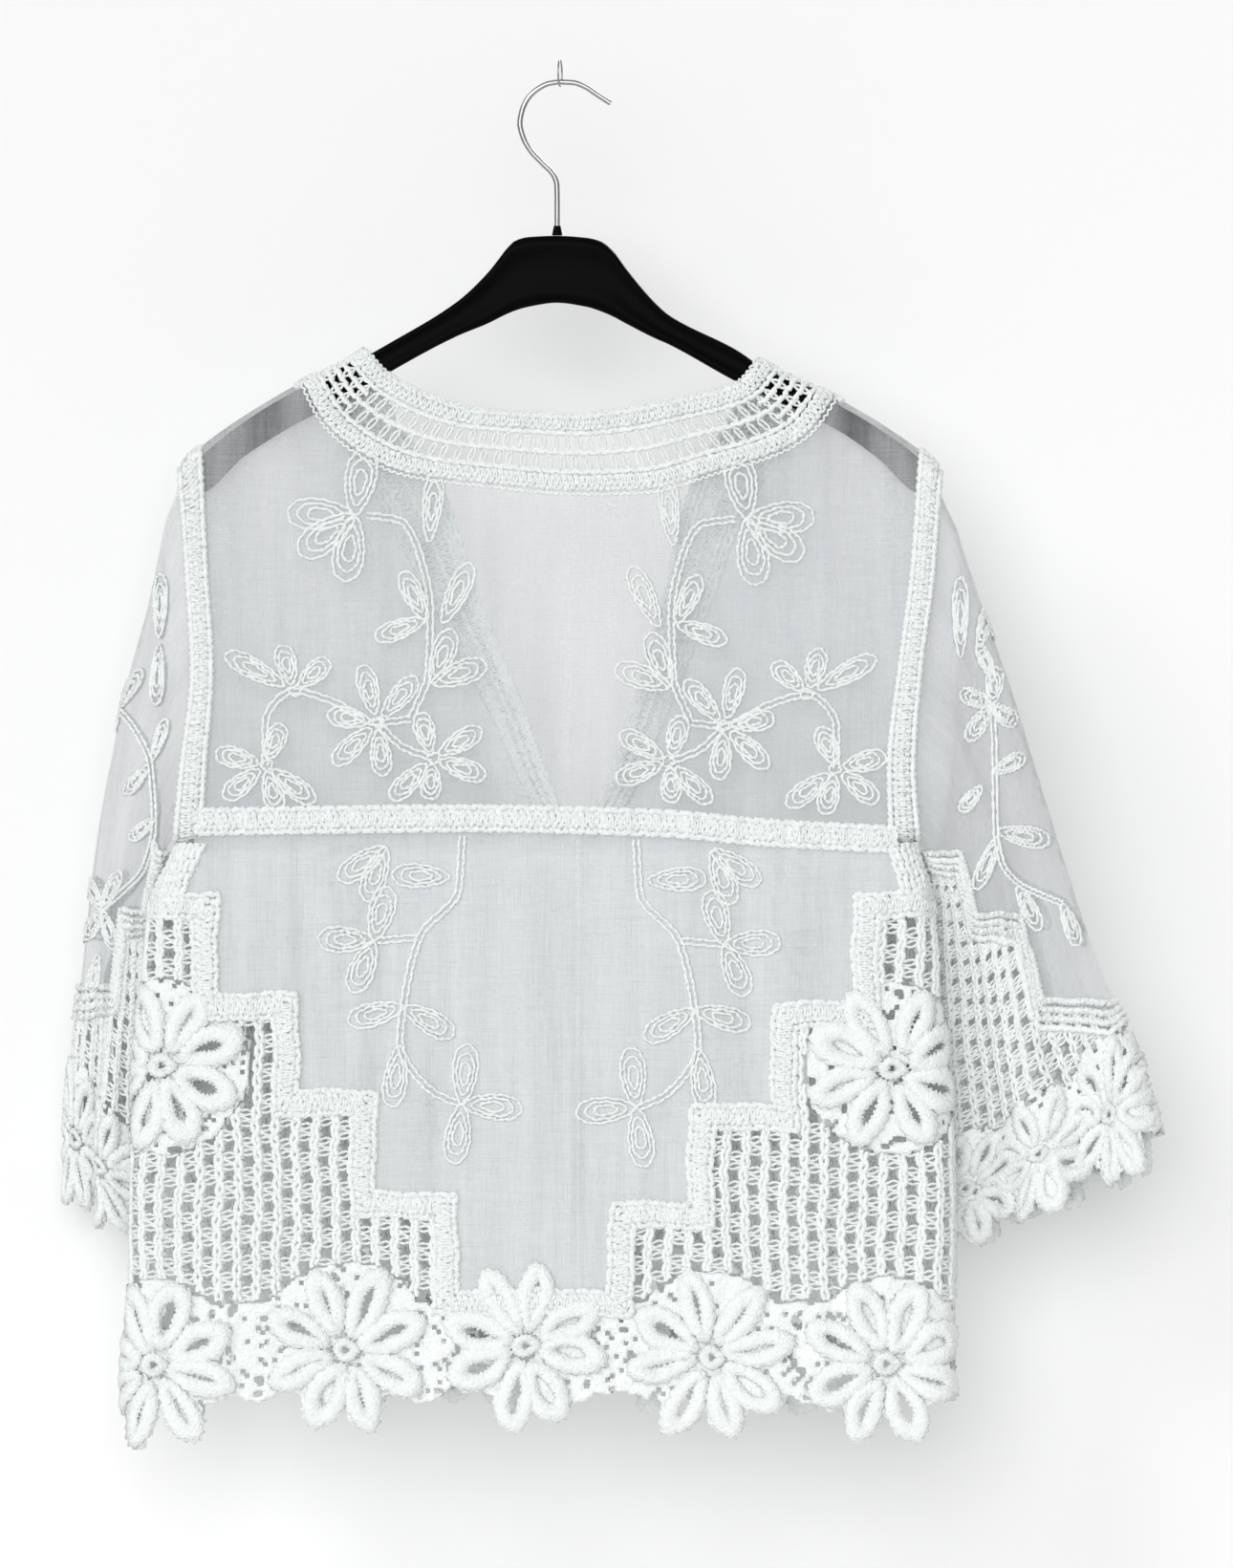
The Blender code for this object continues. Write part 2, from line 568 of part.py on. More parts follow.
def lace_piece(name, material, side, edge_x, steps, flowers, cut, left_edge=None, right_edge=None):
    """Net, tape and hem flowers below a stepped line, cut through where cut is set."""
    def hem_end(sign):
        return side_x(hem_height(side_x(HEM_WEB_Z, sign), flowers), sign)

    right_end = hem_end(1) if right_edge is None else right_edge
    left_end = hem_end(-1) if left_edge is None else left_edge
    count = round((right_end - left_end) / HEM_STEP)
    hem = [(x, hem_height(x, flowers)) for x in np.linspace(right_end, left_end, count)]
    outline = list(steps)
    outline += side_chain(1, LACE_TOP_Z, hem[0][1])[:-1] if right_edge is None else [(right_edge, -720.0)]
    outline += hem
    outline += side_chain(-1, LACE_TOP_Z, hem[-1][1])[-2::-1] if left_edge is None else [(left_edge, -720.0)]
    inner = inset_outline(outline, SEAM / 2)
    lines, crests, eyes = flower_lines(flowers, inner, cut)
    holes = eyes if cut else []
    if cut:
        low, high = np.min(inner, axis=0), np.max(inner, axis=0)
        holes = holes + net_cells(inner, flowers, low, high)
    sheet_piece(name, material, panel(side), outline, CROCHET, holes, lines, crest_rise(crests),
                grid_step=(44, 44))
    return len(holes)


def make_neckband_back(crochet, cloth):
    """The crochet neckband, two rows of open cells between its firm edges."""
    edge, foot = seam_ended(NECK_EDGE, 12), seam_ended(NECKBAND_FOOT, 14)
    end_right = seam_chain(edge[-1][0], foot[-1][0])[1:-1]
    end_left = seam_chain(foot[0][0], edge[0][0])[1:-1]
    outline = edge + end_right + foot[::-1] + end_left
    top, low = np.array(along(NECK_EDGE, 1.0)), np.array(along(NECKBAND_FOOT, 1.0))

    def place(share, across):
        a = top[min(int(share * (len(top) - 1)), len(top) - 1)]
        b = low[min(int(share * (len(low) - 1)), len(low) - 1)]
        return tuple(a + (b - a) * across)

    count = int((len(top) + len(low)) / 2 / NECK_CELL_PITCH)
    holes = []
    for upper, lower in NECK_CELL_ROWS:
        for i in range(2, count - 2):
            start, end = (i + 0.5 - NECK_CELL_SHARE / 2) / count, (i + 0.5 + NECK_CELL_SHARE / 2) / count
            holes.append([place(start, upper), place(end, upper), place(end, lower), place(start, lower)])
    sheet_piece("neckband_back", crochet, cloth, outline, CROCHET, holes,
                roll_lines(), grid_step=(400, 400))
    return len(holes)


def make_front(gauze, crochet):
    cloth = panel(FRONT)
    sides = (
        ("left", -1, V_EDGE_LEFT, V_BAND_LEFT, STEPS_LEFT),
        ("right", 1, V_EDGE_RIGHT, V_BAND_RIGHT, STEPS_RIGHT),
    )
    for name, sign, edge, band, steps in sides:
        inner, outer = seam_ended(edge, 24, False), seam_ended(band, 24, False)
        neck_seam = seam_chain(outer[0][0], inner[0][0])[1:-1]
        outline = neck_seam + inner + outer[::-1]
        sheet_piece("neckband_front_" + name, crochet, cloth, outline, CROCHET,
                    lines=roll_lines(), grid_step=(400, 400))
        arm = arm_chain(sign, -438)
        sheet = outer[::-1] + seam_chain(outer[0][0], arm[0][0])[1:-1] + arm
        sheet += side_chain(sign, -443.2, LACE_TOP_Z)
        centre = CENTRE_FRONT_X + sign * SEAM
        sheet += step_line(steps, centre) + [(centre, -445)]
        sheet_piece("front_" + name, gauze, cloth, sheet, GAUZE,
                    lines=roll_lines(), grid_step=(28, 42))
        if sign < 0:
            stepped = step_line(steps, centre)
            lace_piece("front_lace_left", crochet, FRONT, side_x, stepped, FRONT_FLOWERS[:3]
                       + FRONT_FLOWERS[5:6], False, right_edge=centre)
        else:
            stepped = step_line(steps, centre)[::-1]
            lace_piece("front_lace_right", crochet, FRONT, side_x, stepped, FRONT_FLOWERS[3:5]
                       + FRONT_FLOWERS[6:], False, left_edge=centre)


def make_side_strips(crochet):
    """The lace carried round each side from back to front."""
    for name, sign in (("side_left", -1), ("side_right", 1)):
        rows = []
        for z in SIDE_HEIGHTS[:-1]:
            centre = side_x(z, sign)
            row = []
            for angle in np.linspace(-90, 90, 7):
                a = math.radians(angle)
                reach = SIDE_ROUND * math.cos(a)
                row.append(Vector((centre + sign * (reach + 2 * SEAM), half_depth(z) * math.sin(a), z)))
            rows.append(row)
        tip = [p.copy() for p in rows[-1]]
        for k, p in enumerate(tip):
            p.z -= 22 * math.sin(math.pi * k / (len(tip) - 1)) ** 2 + 2
        strip_piece(name, crochet, rows + [tip], False, CROCHET)


def make_armhole_tapes(crochet):
    """The crochet tape round each armhole, over the hanger's arm and under the arm."""
    for name, sign in (("armhole_tape_left", -1), ("armhole_tape_right", 1)):
        columns = []
        for across in (0.05, 0.5, 0.95):
            def x_at(z):
                start, end = armhole_x(z, sign, "in"), armhole_x(z, sign, "out")
                return start + (end - start) * across
            top_x = x_at(-226)
            top = seam_v(top_x)
            foot_round = half_depth(UNDERARM_Z)
            roll = SHOULDER_ROLL * math.pi / 2
            heights = [top - roll * share for share in (0.33, 0.67, 1.0)]
            heights += [z for z in ARM_HEIGHTS if z < heights[-1] - 3]
            back = [panel_point(x_at(z), z, BACK) for z in heights]
            under = []
            for angle in (22, 45, 68, 90):
                a = math.radians(angle)
                z = UNDERARM_Z + foot_round - foot_round * math.sin(a)
                under.append(Vector((x_at(z), -half_depth(UNDERARM_Z) * math.cos(a), z)))
            half = [panel_point(x_at(top), top, BACK)] + back + under
            front = [Vector((p.x, -p.y, p.z)) for p in reversed(half[1:-1])]
            columns.append(half + front)
        rows = [list(row) for row in zip(*columns)]
        strip_piece(name, crochet, rows, True, CROCHET)


def sleeve_point(rows, sign, s, t, layer):
    """A point of a sleeve: s from the outer fold to the underarm, layer -1 back or +1 front."""
    def read(column):
        return smooth_read(rows, "t", column, t)
    outer = Vector((read("tx"), read("ty"), read("tz")))
    under = Vector((read("bx"), read("by"), read("bz")))
    turn = math.radians(read("turn"))
    away = Vector((math.sin(turn), -math.cos(turn), 0))
    s_in = min(max(s, 0), 1)
    out, drop = read("knee_out"), read("knee_drop")
    knee = Vector((under.x + (outer.x - under.x) * out, under.y + (outer.y - under.y) * out,
                   outer.z + (under.z - outer.z) * drop))
    point = outer * (1 - s) ** 2 + knee * 2 * s * (1 - s) + under * s * s
    beside_tape = (1 - min(t / 0.06, 1)) ** 2
    point.x += (armhole_x(point.z, sign, "out") + sign * 2.3 * SEAM - point.x) * beside_tape
    full = (4 * s_in * (1 - s_in)) ** 0.36
    wave = math.sin(2 * math.pi * SLEEVE_FLUTES * s + 0.5) * math.sin(math.pi * s_in)
    offset = -layer * max(read("depth") * full, 0.7 * SEAM) + read("flute") * wave
    return point + away * offset


def lace_start(s):
    """The length share where the sleeve's lace starts, by steps across the sleeve."""
    return [step.length for step in SLEEVE_STEPS if s >= step.share][-1]


def sleeve_step_line(name):
    """The stepped top of a cuff from the outer fold to the underarm, with the gauze's corners."""
    line = []
    for k, step in enumerate(SLEEVE_STEPS):
        final = k + 1 == len(SLEEVE_STEPS)
        end = 1.0 if final else SLEEVE_STEPS[k + 1].share
        shares = [s for s in SLEEVE_COLUMNS if step.share + 0.005 < s < end - 0.005]
        line.append((step.share, step.length, step.share > 0, True))
        line += [(s, step.length, False, True) for s in shares]
        line.append((end, step.length, not final, True))
        if not final:
            above = SLEEVE_STEPS[k + 1].length
            lengths = [t for t in reversed(SLEEVE_LENGTHS) if above + 0.01 < t < step.length - 0.01]
            line += [(end, t, True, False) for t in lengths]
    seam_beside, seam_below = CUFF_SEAMS[name]
    return [(s * SLEEVE_FLAT_WIDTH + seam_beside * beside, -t * SLEEVE_FLAT_LENGTH - seam_below * below)
            for s, t, beside, below in line]


def sleeve_normal(rows, sign, s, t, layer):
    """The way out of the sleeve at a point, read over its folds as well as along it."""
    def around(w):
        w %= 2
        return sleeve_point(rows, sign, w, t, BACK) if w <= 1 else sleeve_point(rows, sign, 2 - w, t, FRONT)

    w = s if layer == BACK else 2 - s
    across = around(w + 0.05) - around(w - 0.05)
    down = sleeve_point(rows, sign, s, t + 0.03, layer) - sleeve_point(rows, sign, s, max(t - 0.03, 0), layer)
    return across.cross(down).normalized() * sign


def make_sleeve(name, rows, sign, gauze, crochet, cut_back):
    ring = [(s, BACK) for s in SLEEVE_COLUMNS] + [(s, FRONT) for s in reversed(SLEEVE_COLUMNS[1:-1])]
    strips = [[sleeve_point(rows, sign, s, t, layer) for t in SLEEVE_LENGTHS] for s, layer in ring]

    def above_lace(i, j):
        middle = (ring[i][0] + ring[(i + 1) % len(ring)][0]) / 2
        return SLEEVE_LENGTHS[j + 1] <= lace_start(middle)

    def normal(i, j):
        return sleeve_normal(rows, sign, ring[i][0], SLEEVE_LENGTHS[j], ring[i][1])

    strip_piece("sleeve_" + name, gauze, strips, True, GAUZE, above_lace, normal)
    return sum(make_cuff_half(name, part, layer, rows, sign, crochet, cut_back and layer == BACK)
               for part, layer in (("back", BACK), ("front", FRONT)))


def make_cuff_half(name, part, layer, rows, sign, crochet, cut):
    """The back or front half of a cuff: stepped top, net, and flowers along a scalloped hem."""
    width, length = SLEEVE_FLAT_WIDTH, SLEEVE_FLAT_LENGTH

    def point(u, v):
        return sleeve_point(rows, sign, u / width, -v / length, layer)

    def normal(u, v):
        return sleeve_normal(rows, sign, u / width, -v / length, layer)

    scallops = []
    for s in np.linspace(1, 0, 22):
        lobe = abs(math.sin(math.pi * CUFF_SCALLOPS * s))
        scallops.append((s * width, -length + CUFF_SCALLOP_DEPTH * (1 - lobe)))
    top = sleeve_step_line(name)
    under_fold = [(width, v) for v in np.linspace(top[-1][1], scallops[0][1], 8)[1:-1]]
    outer_fold = [(0.0, v) for v in np.linspace(scallops[-1][1], top[0][1], 4)[1:-1]]
    outline = top + under_fold + scallops + outer_fold
    flowers = [Flower((k + 0.5) / CUFF_SCALLOPS * width, -length + CUFF_FLOWER_Z, 22.5 + 8 * k)
               for k in range(CUFF_SCALLOPS)]
    lines, crests, eyes = flower_lines(flowers, outline, layer == BACK)
    lines += [[(CUFF_BEND, v) for _, v in reversed(outer_fold)]]
    lines += [[(width - CUFF_BEND, v) for _, v in under_fold]]
    holes = []
    if cut:
        low, high = np.min(outline, axis=0), np.max(outline, axis=0)
        holes = eyes + net_cells(outline, flowers, low, high, 8.0)
    sheet_piece("cuff_" + name + "_" + part, crochet, (point, normal), outline, CROCHET,
                holes, lines, crest_rise(crests), grid_step=(17, 34), seam=0)
    return len(holes)


def make_hanger(plastic):
    bm = bmesh.new()
    rings = []
    half = HANGER_HALF_THICKNESS
    for bar in HANGER:
        shoulder = min(2.6, (bar.top - bar.foot) * 0.2)
        section = ((-2.0, bar.top), (2.0, bar.top), (half, bar.top - shoulder),
                   (half, bar.foot + 2.2), (3.0, bar.foot), (-3.0, bar.foot),
                   (-half, bar.foot + 2.2), (-half, bar.top - shoulder))
        rings.append([bm.verts.new(Vector((bar.x, y, z)) * MM) for y, z in section])
    for before, after in zip(rings, rings[1:]):
        for k in range(len(before)):
            n = (k + 1) % len(before)
            bm.faces.new((before[k], before[n], after[n], after[k]))
    bm.faces.new(rings[0])
    bm.faces.new(reversed(rings[-1]))
    bmesh.ops.recalc_face_normals(bm, faces=bm.faces)
    new_object("hanger_body", bm, plastic)


def wire_object(name, points, radius, closed, material, resolution):
    curve = bpy.data.curves.new(name, "CURVE")
    curve.dimensions = "3D"
    curve.bevel_depth = radius * MM
    curve.bevel_resolution = resolution
    curve.use_fill_caps = not closed
    spline = curve.splines.new("POLY")
    spline.points.add(len(points) - 1)
    for slot, p in zip(spline.points, points):
        slot.co = (*(p * MM), 1.0)
    spline.use_cyclic_u = closed
    spline.use_smooth = True
    curve.materials.append(material)
    wire = bpy.data.objects.new(name, curve)
    bpy.context.scene.collection.objects.link(wire)


def make_hook(steel, plastic):
    wire = [Vector((x, 0, z)) for x, z in along(HOOK, 6.0)]
    wire_object("hanger_hook", wire, HOOK_WIRE_RADIUS, False, steel, 2)
    bm = bmesh.new()
    height = COLLAR_TOP_Z - COLLAR_FOOT_Z
    bmesh.ops.create_cone(bm, cap_ends=True, segments=16, radius1=COLLAR_FOOT_RADIUS * MM,
                          radius2=COLLAR_TOP_RADIUS * MM, depth=height * MM)
    place = Vector((HOOK[0].x, 0, (COLLAR_TOP_Z + COLLAR_FOOT_Z) / 2)) * MM
    bmesh.ops.translate(bm, verts=bm.verts, vec=place)
    new_object("hook_collar", bm, plastic)
    radius = RING_INNER_HEIGHT / 2 + RING_WIRE_RADIUS
    ring = []
    for angle in np.linspace(0, 2 * math.pi, 28, endpoint=False):
        flat = radius * math.sin(angle)
        ring.append(Vector((flat * math.sin(RING_TURN), flat * math.cos(RING_TURN),
                            -RING_INNER_HEIGHT / 2 + radius * math.cos(angle))))
    wire_object("hanging_ring", ring, RING_WIRE_RADIUS, True, steel, 1)


def finish(name, colour, roughness, metallic):
    material = bpy.data.materials.new(name)
    material.use_nodes = True
    shader = material.node_tree.nodes["Principled BSDF"]
    shader.inputs["Base Color"].default_value = (*colour, 1)
    shader.inputs["Roughness"].default_value = roughness
    shader.inputs["Metallic"].default_value = metallic
    return material


def main():
    for old in list(bpy.data.objects):
        bpy.data.objects.remove(old)
    gauze = finish("gauze", (0.72, 0.75, 0.78), 0.9, 0.0)
    crochet = finish("crochet", (0.84, 0.87, 0.86), 0.85, 0.0)
    plastic = finish("black_plastic", (0.012, 0.012, 0.014), 0.45, 0.0)
    steel = finish("steel", (0.55, 0.55, 0.56), 0.25, 1.0)
    gaps = make_back(gauze, crochet)
    make_front(gauze, crochet)
    make_side_strips(crochet)
    make_armhole_tapes(crochet)
    gaps += make_sleeve("left", LEFT_SLEEVE, -1, gauze, crochet, False)
    gaps += make_sleeve("right", RIGHT_SLEEVE, 1, gauze, crochet, True)
    make_hanger(plastic)
    make_hook(steel, plastic)
    print("gaps cut through:", gaps)
    for piece in bpy.data.objects:
        if piece.type == "MESH":
            piece.data.calc_loop_triangles()
            print(piece.name, len(piece.data.loop_triangles), "triangles")


main()
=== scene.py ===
# %% [markdown]
# # A gauze cardigan with crocheted lace on a moulded hanger
# The real garment is cut from thin cotton gauze and edged with thick cotton crochet: a neckband,
# tapes over the seams, a stepped border, an open net and a hem of padded flowers. Each piece is
# drawn flat, in millimetres, as on a cutting table. A function then lays it on the hanging form.
# This way a seam, a stitch and a fold are planned where they are easy to measure.
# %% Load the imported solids
import math
import random

import bmesh
import bpy
import numpy as np
from mathutils import Matrix, Vector


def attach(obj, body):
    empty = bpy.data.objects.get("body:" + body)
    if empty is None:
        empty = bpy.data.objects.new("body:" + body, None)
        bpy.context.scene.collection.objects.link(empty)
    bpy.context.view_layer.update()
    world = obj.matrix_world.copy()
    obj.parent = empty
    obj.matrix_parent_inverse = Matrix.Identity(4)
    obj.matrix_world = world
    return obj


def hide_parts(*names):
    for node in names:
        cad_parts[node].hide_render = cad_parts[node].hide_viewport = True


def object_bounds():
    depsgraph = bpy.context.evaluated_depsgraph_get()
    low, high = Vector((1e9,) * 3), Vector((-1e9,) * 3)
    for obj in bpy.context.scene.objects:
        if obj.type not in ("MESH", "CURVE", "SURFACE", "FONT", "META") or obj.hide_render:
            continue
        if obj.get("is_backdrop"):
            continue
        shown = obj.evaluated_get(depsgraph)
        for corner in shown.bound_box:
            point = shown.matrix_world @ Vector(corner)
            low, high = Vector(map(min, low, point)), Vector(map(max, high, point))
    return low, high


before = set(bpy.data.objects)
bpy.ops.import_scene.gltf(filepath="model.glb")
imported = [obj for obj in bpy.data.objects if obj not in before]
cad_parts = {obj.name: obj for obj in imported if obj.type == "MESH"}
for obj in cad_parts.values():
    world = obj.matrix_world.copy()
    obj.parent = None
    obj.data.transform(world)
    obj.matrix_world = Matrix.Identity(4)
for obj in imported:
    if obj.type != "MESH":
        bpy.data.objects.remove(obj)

MM = 0.001
cad_box = [list(corner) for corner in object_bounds()]
print("solids:", len(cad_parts), "box", [[round(c / MM, 1) for c in p] for p in cad_box])

# %% [markdown]
# ## The camera
# The garment was photographed straight from behind, from far enough away that near and far parts
# keep their sizes. A long lens from seven metres gives the same flat view.
# %% Camera
CAMERA_DISTANCE = 7.0
VIEW_CENTRE = (0.0319, -0.4086)     # x and z in the middle of the picture
VIEW_HALF_HEIGHT = 0.443
SENSOR = 36.0
camera_data = bpy.data.cameras.new("camera")
camera_data.sensor_width = SENSOR
camera_data.lens = SENSOR / 2 * CAMERA_DISTANCE / VIEW_HALF_HEIGHT
camera = bpy.data.objects.new("camera", camera_data)
camera.location = (VIEW_CENTRE[0], -CAMERA_DISTANCE, VIEW_CENTRE[1])
camera.rotation_euler = (math.pi / 2, 0, 0)
bpy.context.scene.collection.objects.link(camera)
bpy.context.scene.camera = camera
print("camera lens", round(camera_data.lens, 1), "mm")

# %% [markdown]
# ## One smooth line through a few measured places
# A garment's edges are long soft curves. A few measured places and a curve that never overshoots
# them give such an edge, and a dense table of it is quick to read for thousands of points.
# %% Smooth curves
def smooth_curve(keys, values, samples=600):
    """A reader of the values at any place between the keys."""
    keys, values = np.array(keys, float), np.array(values, float)
    if keys[0] > keys[-1]:
        keys, values = keys[::-1], values[::-1]
    runs = np.diff(keys)
    slopes = np.diff(values) / runs
    same_way = slopes[1:] * slopes[:-1] > 0
    joint = 2 * slopes[1:] * slopes[:-1] / np.where(same_way, slopes[1:] + slopes[:-1], 1)
    tangents = np.concatenate([slopes[:1], np.where(same_way, joint, 0), slopes[-1:]])
    dense = np.linspace(keys[0], keys[-1], samples)
    i = np.clip(np.searchsorted(keys, dense, side="right") - 1, 0, len(runs) - 1)
    h, s = runs[i], (dense - keys[i]) / runs[i]
    line = (values[i] * (1 + 2 * s) * (1 - s) ** 2 + tangents[i] * h * s * (1 - s) ** 2
            + values[i + 1] * s * s * (3 - 2 * s) + tangents[i + 1] * h * s * s * (s - 1))
    return lambda at: np.interp(at, dense, line)


def smooth_path(points, step):
    """Points every step or so along one smooth curve through a list of places."""
    knots = np.array(points, float)
    gone = np.concatenate([[0], np.cumsum(np.hypot(*np.diff(knots, axis=0).T))])
    at = np.linspace(0, gone[-1], max(2, round(gone[-1] / step) + 1))
    return np.stack([smooth_curve(gone, knots[:, k])(at) for k in (0, 1)], 1)


# %% [markdown]
# ## The hanging form of the body
# Hung on a hanger, the body is two nearly flat layers that meet over the hanger's arms and turn
# round soft sides. Below the yoke the weight of the hem opens a few long upright folds. The same
# measured tables shape the solids, so every piece lies where its solid is.
# %% Body form
BACK, FRONT = -1, 1
NECK_Z, HEM_Z, UNDERARM_Z = -166.0, -785.0, -440.0
NECK_HALF_DEPTH, HEM_HALF_DEPTH = 6.5, 20.0
SHOULDER_ROLL, SIDE_ROUND = 6.5, 14.0
SHOULDER = np.array([(-218, -238), (-211, -226), (-204, -219), (-154, -186), (-114, -166),
                     (-60, -118), (60, -122), (116, -171), (159, -192), (203, -220),
                     (211, -227), (218, -240)], float)
SIDES = np.array([(-443, -215, 200), (-452, -219.5, 202.5), (-463, -224.5, 206),
                  (-483, -230, 209), (-533, -236, 215), (-614, -241, 221), (-689, -242, 222),
                  (-743, -246, 223), (-790, -243, 225)], float)
BODY_FOLDS = ((-168, -182, 30, 2.4), (-96, -108, 26, -2.2), (-24, -18, 32, 2.0),
              (58, 64, 28, -2.0), (128, 146, 30, 2.6))
shoulder_z = smooth_curve(*SHOULDER.T)
left_edge = smooth_curve(SIDES[:, 0], SIDES[:, 1] + SIDE_ROUND)
right_edge = smooth_curve(SIDES[:, 0], SIDES[:, 2] - SIDE_ROUND)


def half_depth(z):
    share = (NECK_Z - z) / (NECK_Z - HEM_Z)
    return NECK_HALF_DEPTH + (HEM_HALF_DEPTH - NECK_HALF_DEPTH) * share


def fold_height(x, z):
    share = np.clip((UNDERARM_Z + 120 - z) / (UNDERARM_Z + 120 - HEM_Z), 0, 1)
    height = 0.0
    for x_top, x_hem, width, depth in BODY_FOLDS:
        away = np.minimum(abs(x - x_top - (x_hem - x_top) * share) / width, 1)
        height = height + depth * share * 0.5 * (1 + np.cos(math.pi * away))
    return height


def seam_v(x):
    """How far the cloth runs up to the shoulder seam, over the hanger's arm."""
    return shoulder_z(x) + (math.pi / 2 - 1) * SHOULDER_ROLL


def side_turn(v):
    """The cloth's way round a side, from back to front."""
    return math.pi * np.sqrt((SIDE_ROUND ** 2 + half_depth(v) ** 2) / 2)


print("side turn at the hem:", round(float(side_turn(HEM_Z)), 1), "mm")

# %% [markdown]
# ## Creases of the gauze
# Cotton gauze is crinkled: fine uneven upright ridges, and a few longer slanting creases where the
# cloth is pulled. Waves of unequal length that drift along the cloth give the ridges. Each long
# crease is a shallow trough between two given places.
# %% Crinkles and creases
LONG_CREASES = ((-150, -270, -60, -410, 10, -1.6), (150, -270, 70, -405, 10, -1.5),
                (-195, -250, -180, -405, 8, 1.5), (190, -252, 176, -405, 8, 1.5),
                (-128, -240, -16, -330, 9, 1.1), (30, -300, 118, -236, 9, 1.0),
                (-60, -470, 90, -520, 9, 1.0), (-150, -450, -122, -575, 9, -1.5),
                (120, -450, 98, -580, 9, -1.4), (-20, -445, -10, -690, 8, 1.6),
                (30, -540, 38, -690, 10, -1.5), (-80, -600, 10, -625, 7, 0.9),
                (-178, -446, -168, -520, 7, 1.3), (148, -446, 140, -530, 8, 1.3),
                (-30, -240, -36, -420, 12, -1.3), (24, -250, 34, -425, 11, 1.2),
                (-60, -450, -44, -640, 12, -1.1), (66, -455, 58, -600, 11, 1.2))


def crinkle(u, v, turn):
    """Height of the cloth's own unevenness, as layers of drifting waves."""
    ridges = 0.34 * np.sin(u / 1.9 + 1.6 * np.sin(v / 47 + turn) + turn)
    ridges = ridges + 0.42 * np.sin(u / 3.3 + 2.3 * np.sin(v / 83 + 2 * turn))
    ridges = ridges + 0.55 * np.sin(u / 7.3 + 1.9 * np.sin(v / 120 + 3 * turn) + 2 * turn)
    return ridges * (0.65 + 0.35 * np.sin(v / 37 + u / 61 + turn))


def crease(u, v, creases):
    height = np.zeros(np.shape(u))
    for u1, v1, u2, v2, width, depth in creases:
        run = np.array((u2 - u1, v2 - v1), float)
        share = ((u - u1) * run[0] + (v - v1) * run[1]) / (run @ run)
        away = abs((u - u1) * run[1] - (v - v1) * run[0]) / np.hypot(*run) / width
        ends = np.clip(4 * share, 0, 1) * np.clip(4 * (1 - share), 0, 1)
        height += depth * ends * np.exp(-away * away)
    return height


# %% [markdown]
# ## Laying a flat piece on the body
# A place on the flat piece is u across and v up, with a lift off the cloth. Up to a shoulder the
# cloth rolls over the hanger's arm, and past a side edge it turns round the side. One function
# per layer gives the place in the room for whole arrays of points at once.
# %% Body cloth
def body_cloth(side):
    def place(u, v, lift):
        below = v < UNDERARM_Z - 1
        flat_u = np.clip(u, np.where(below, left_edge(v), -1e3), np.where(below, right_edge(v), 1e3))
        past = u - flat_u
        roll_foot = shoulder_z(flat_u) - SHOULDER_ROLL
        z = np.minimum(v, roll_foot)
        roll = np.maximum(v - roll_foot, 0) / SHOULDER_ROLL
        turn = np.clip(abs(past) / side_turn(v), 0, 1) * math.pi
        calm = np.cos(roll) ** 2
        lift = lift + (crinkle(u, v, side) + crease(u, v, LONG_CREASES)) * calm
        x = flat_u + np.sign(past) * ((SIDE_ROUND + lift) * np.sin(turn) + 0.6 * np.sin(turn))
        y = side * (half_depth(z) + fold_height(flat_u, z) + lift) * np.cos(roll) * np.cos(turn)
        return np.stack([x, y, z + (SHOULDER_ROLL + lift) * np.sin(roll)], 1)
    return place


def handmade(cloth, much=1.0):
    """The same cloth for crochet, whose rows are never quite even."""
    def place(u, v, lift):
        uneven_u = 0.8 * np.sin(v / 13 + u / 29) + 0.5 * np.sin(v / 5.1 + u / 11)
        uneven_v = 0.8 * np.sin(u / 12 + v / 31) + 0.45 * np.sin(u / 4.7 + v / 9)
        return cloth(u + much * uneven_u, v + much * uneven_v, lift)
    return place


back_cloth, front_cloth = body_cloth(BACK), body_cloth(FRONT)
back_lace_cloth, front_lace_cloth = handmade(back_cloth), handmade(front_cloth)
print("middle of the back's hem:", back_cloth(*np.array([[0.0], [-780.0], [0.0]])).round(1))

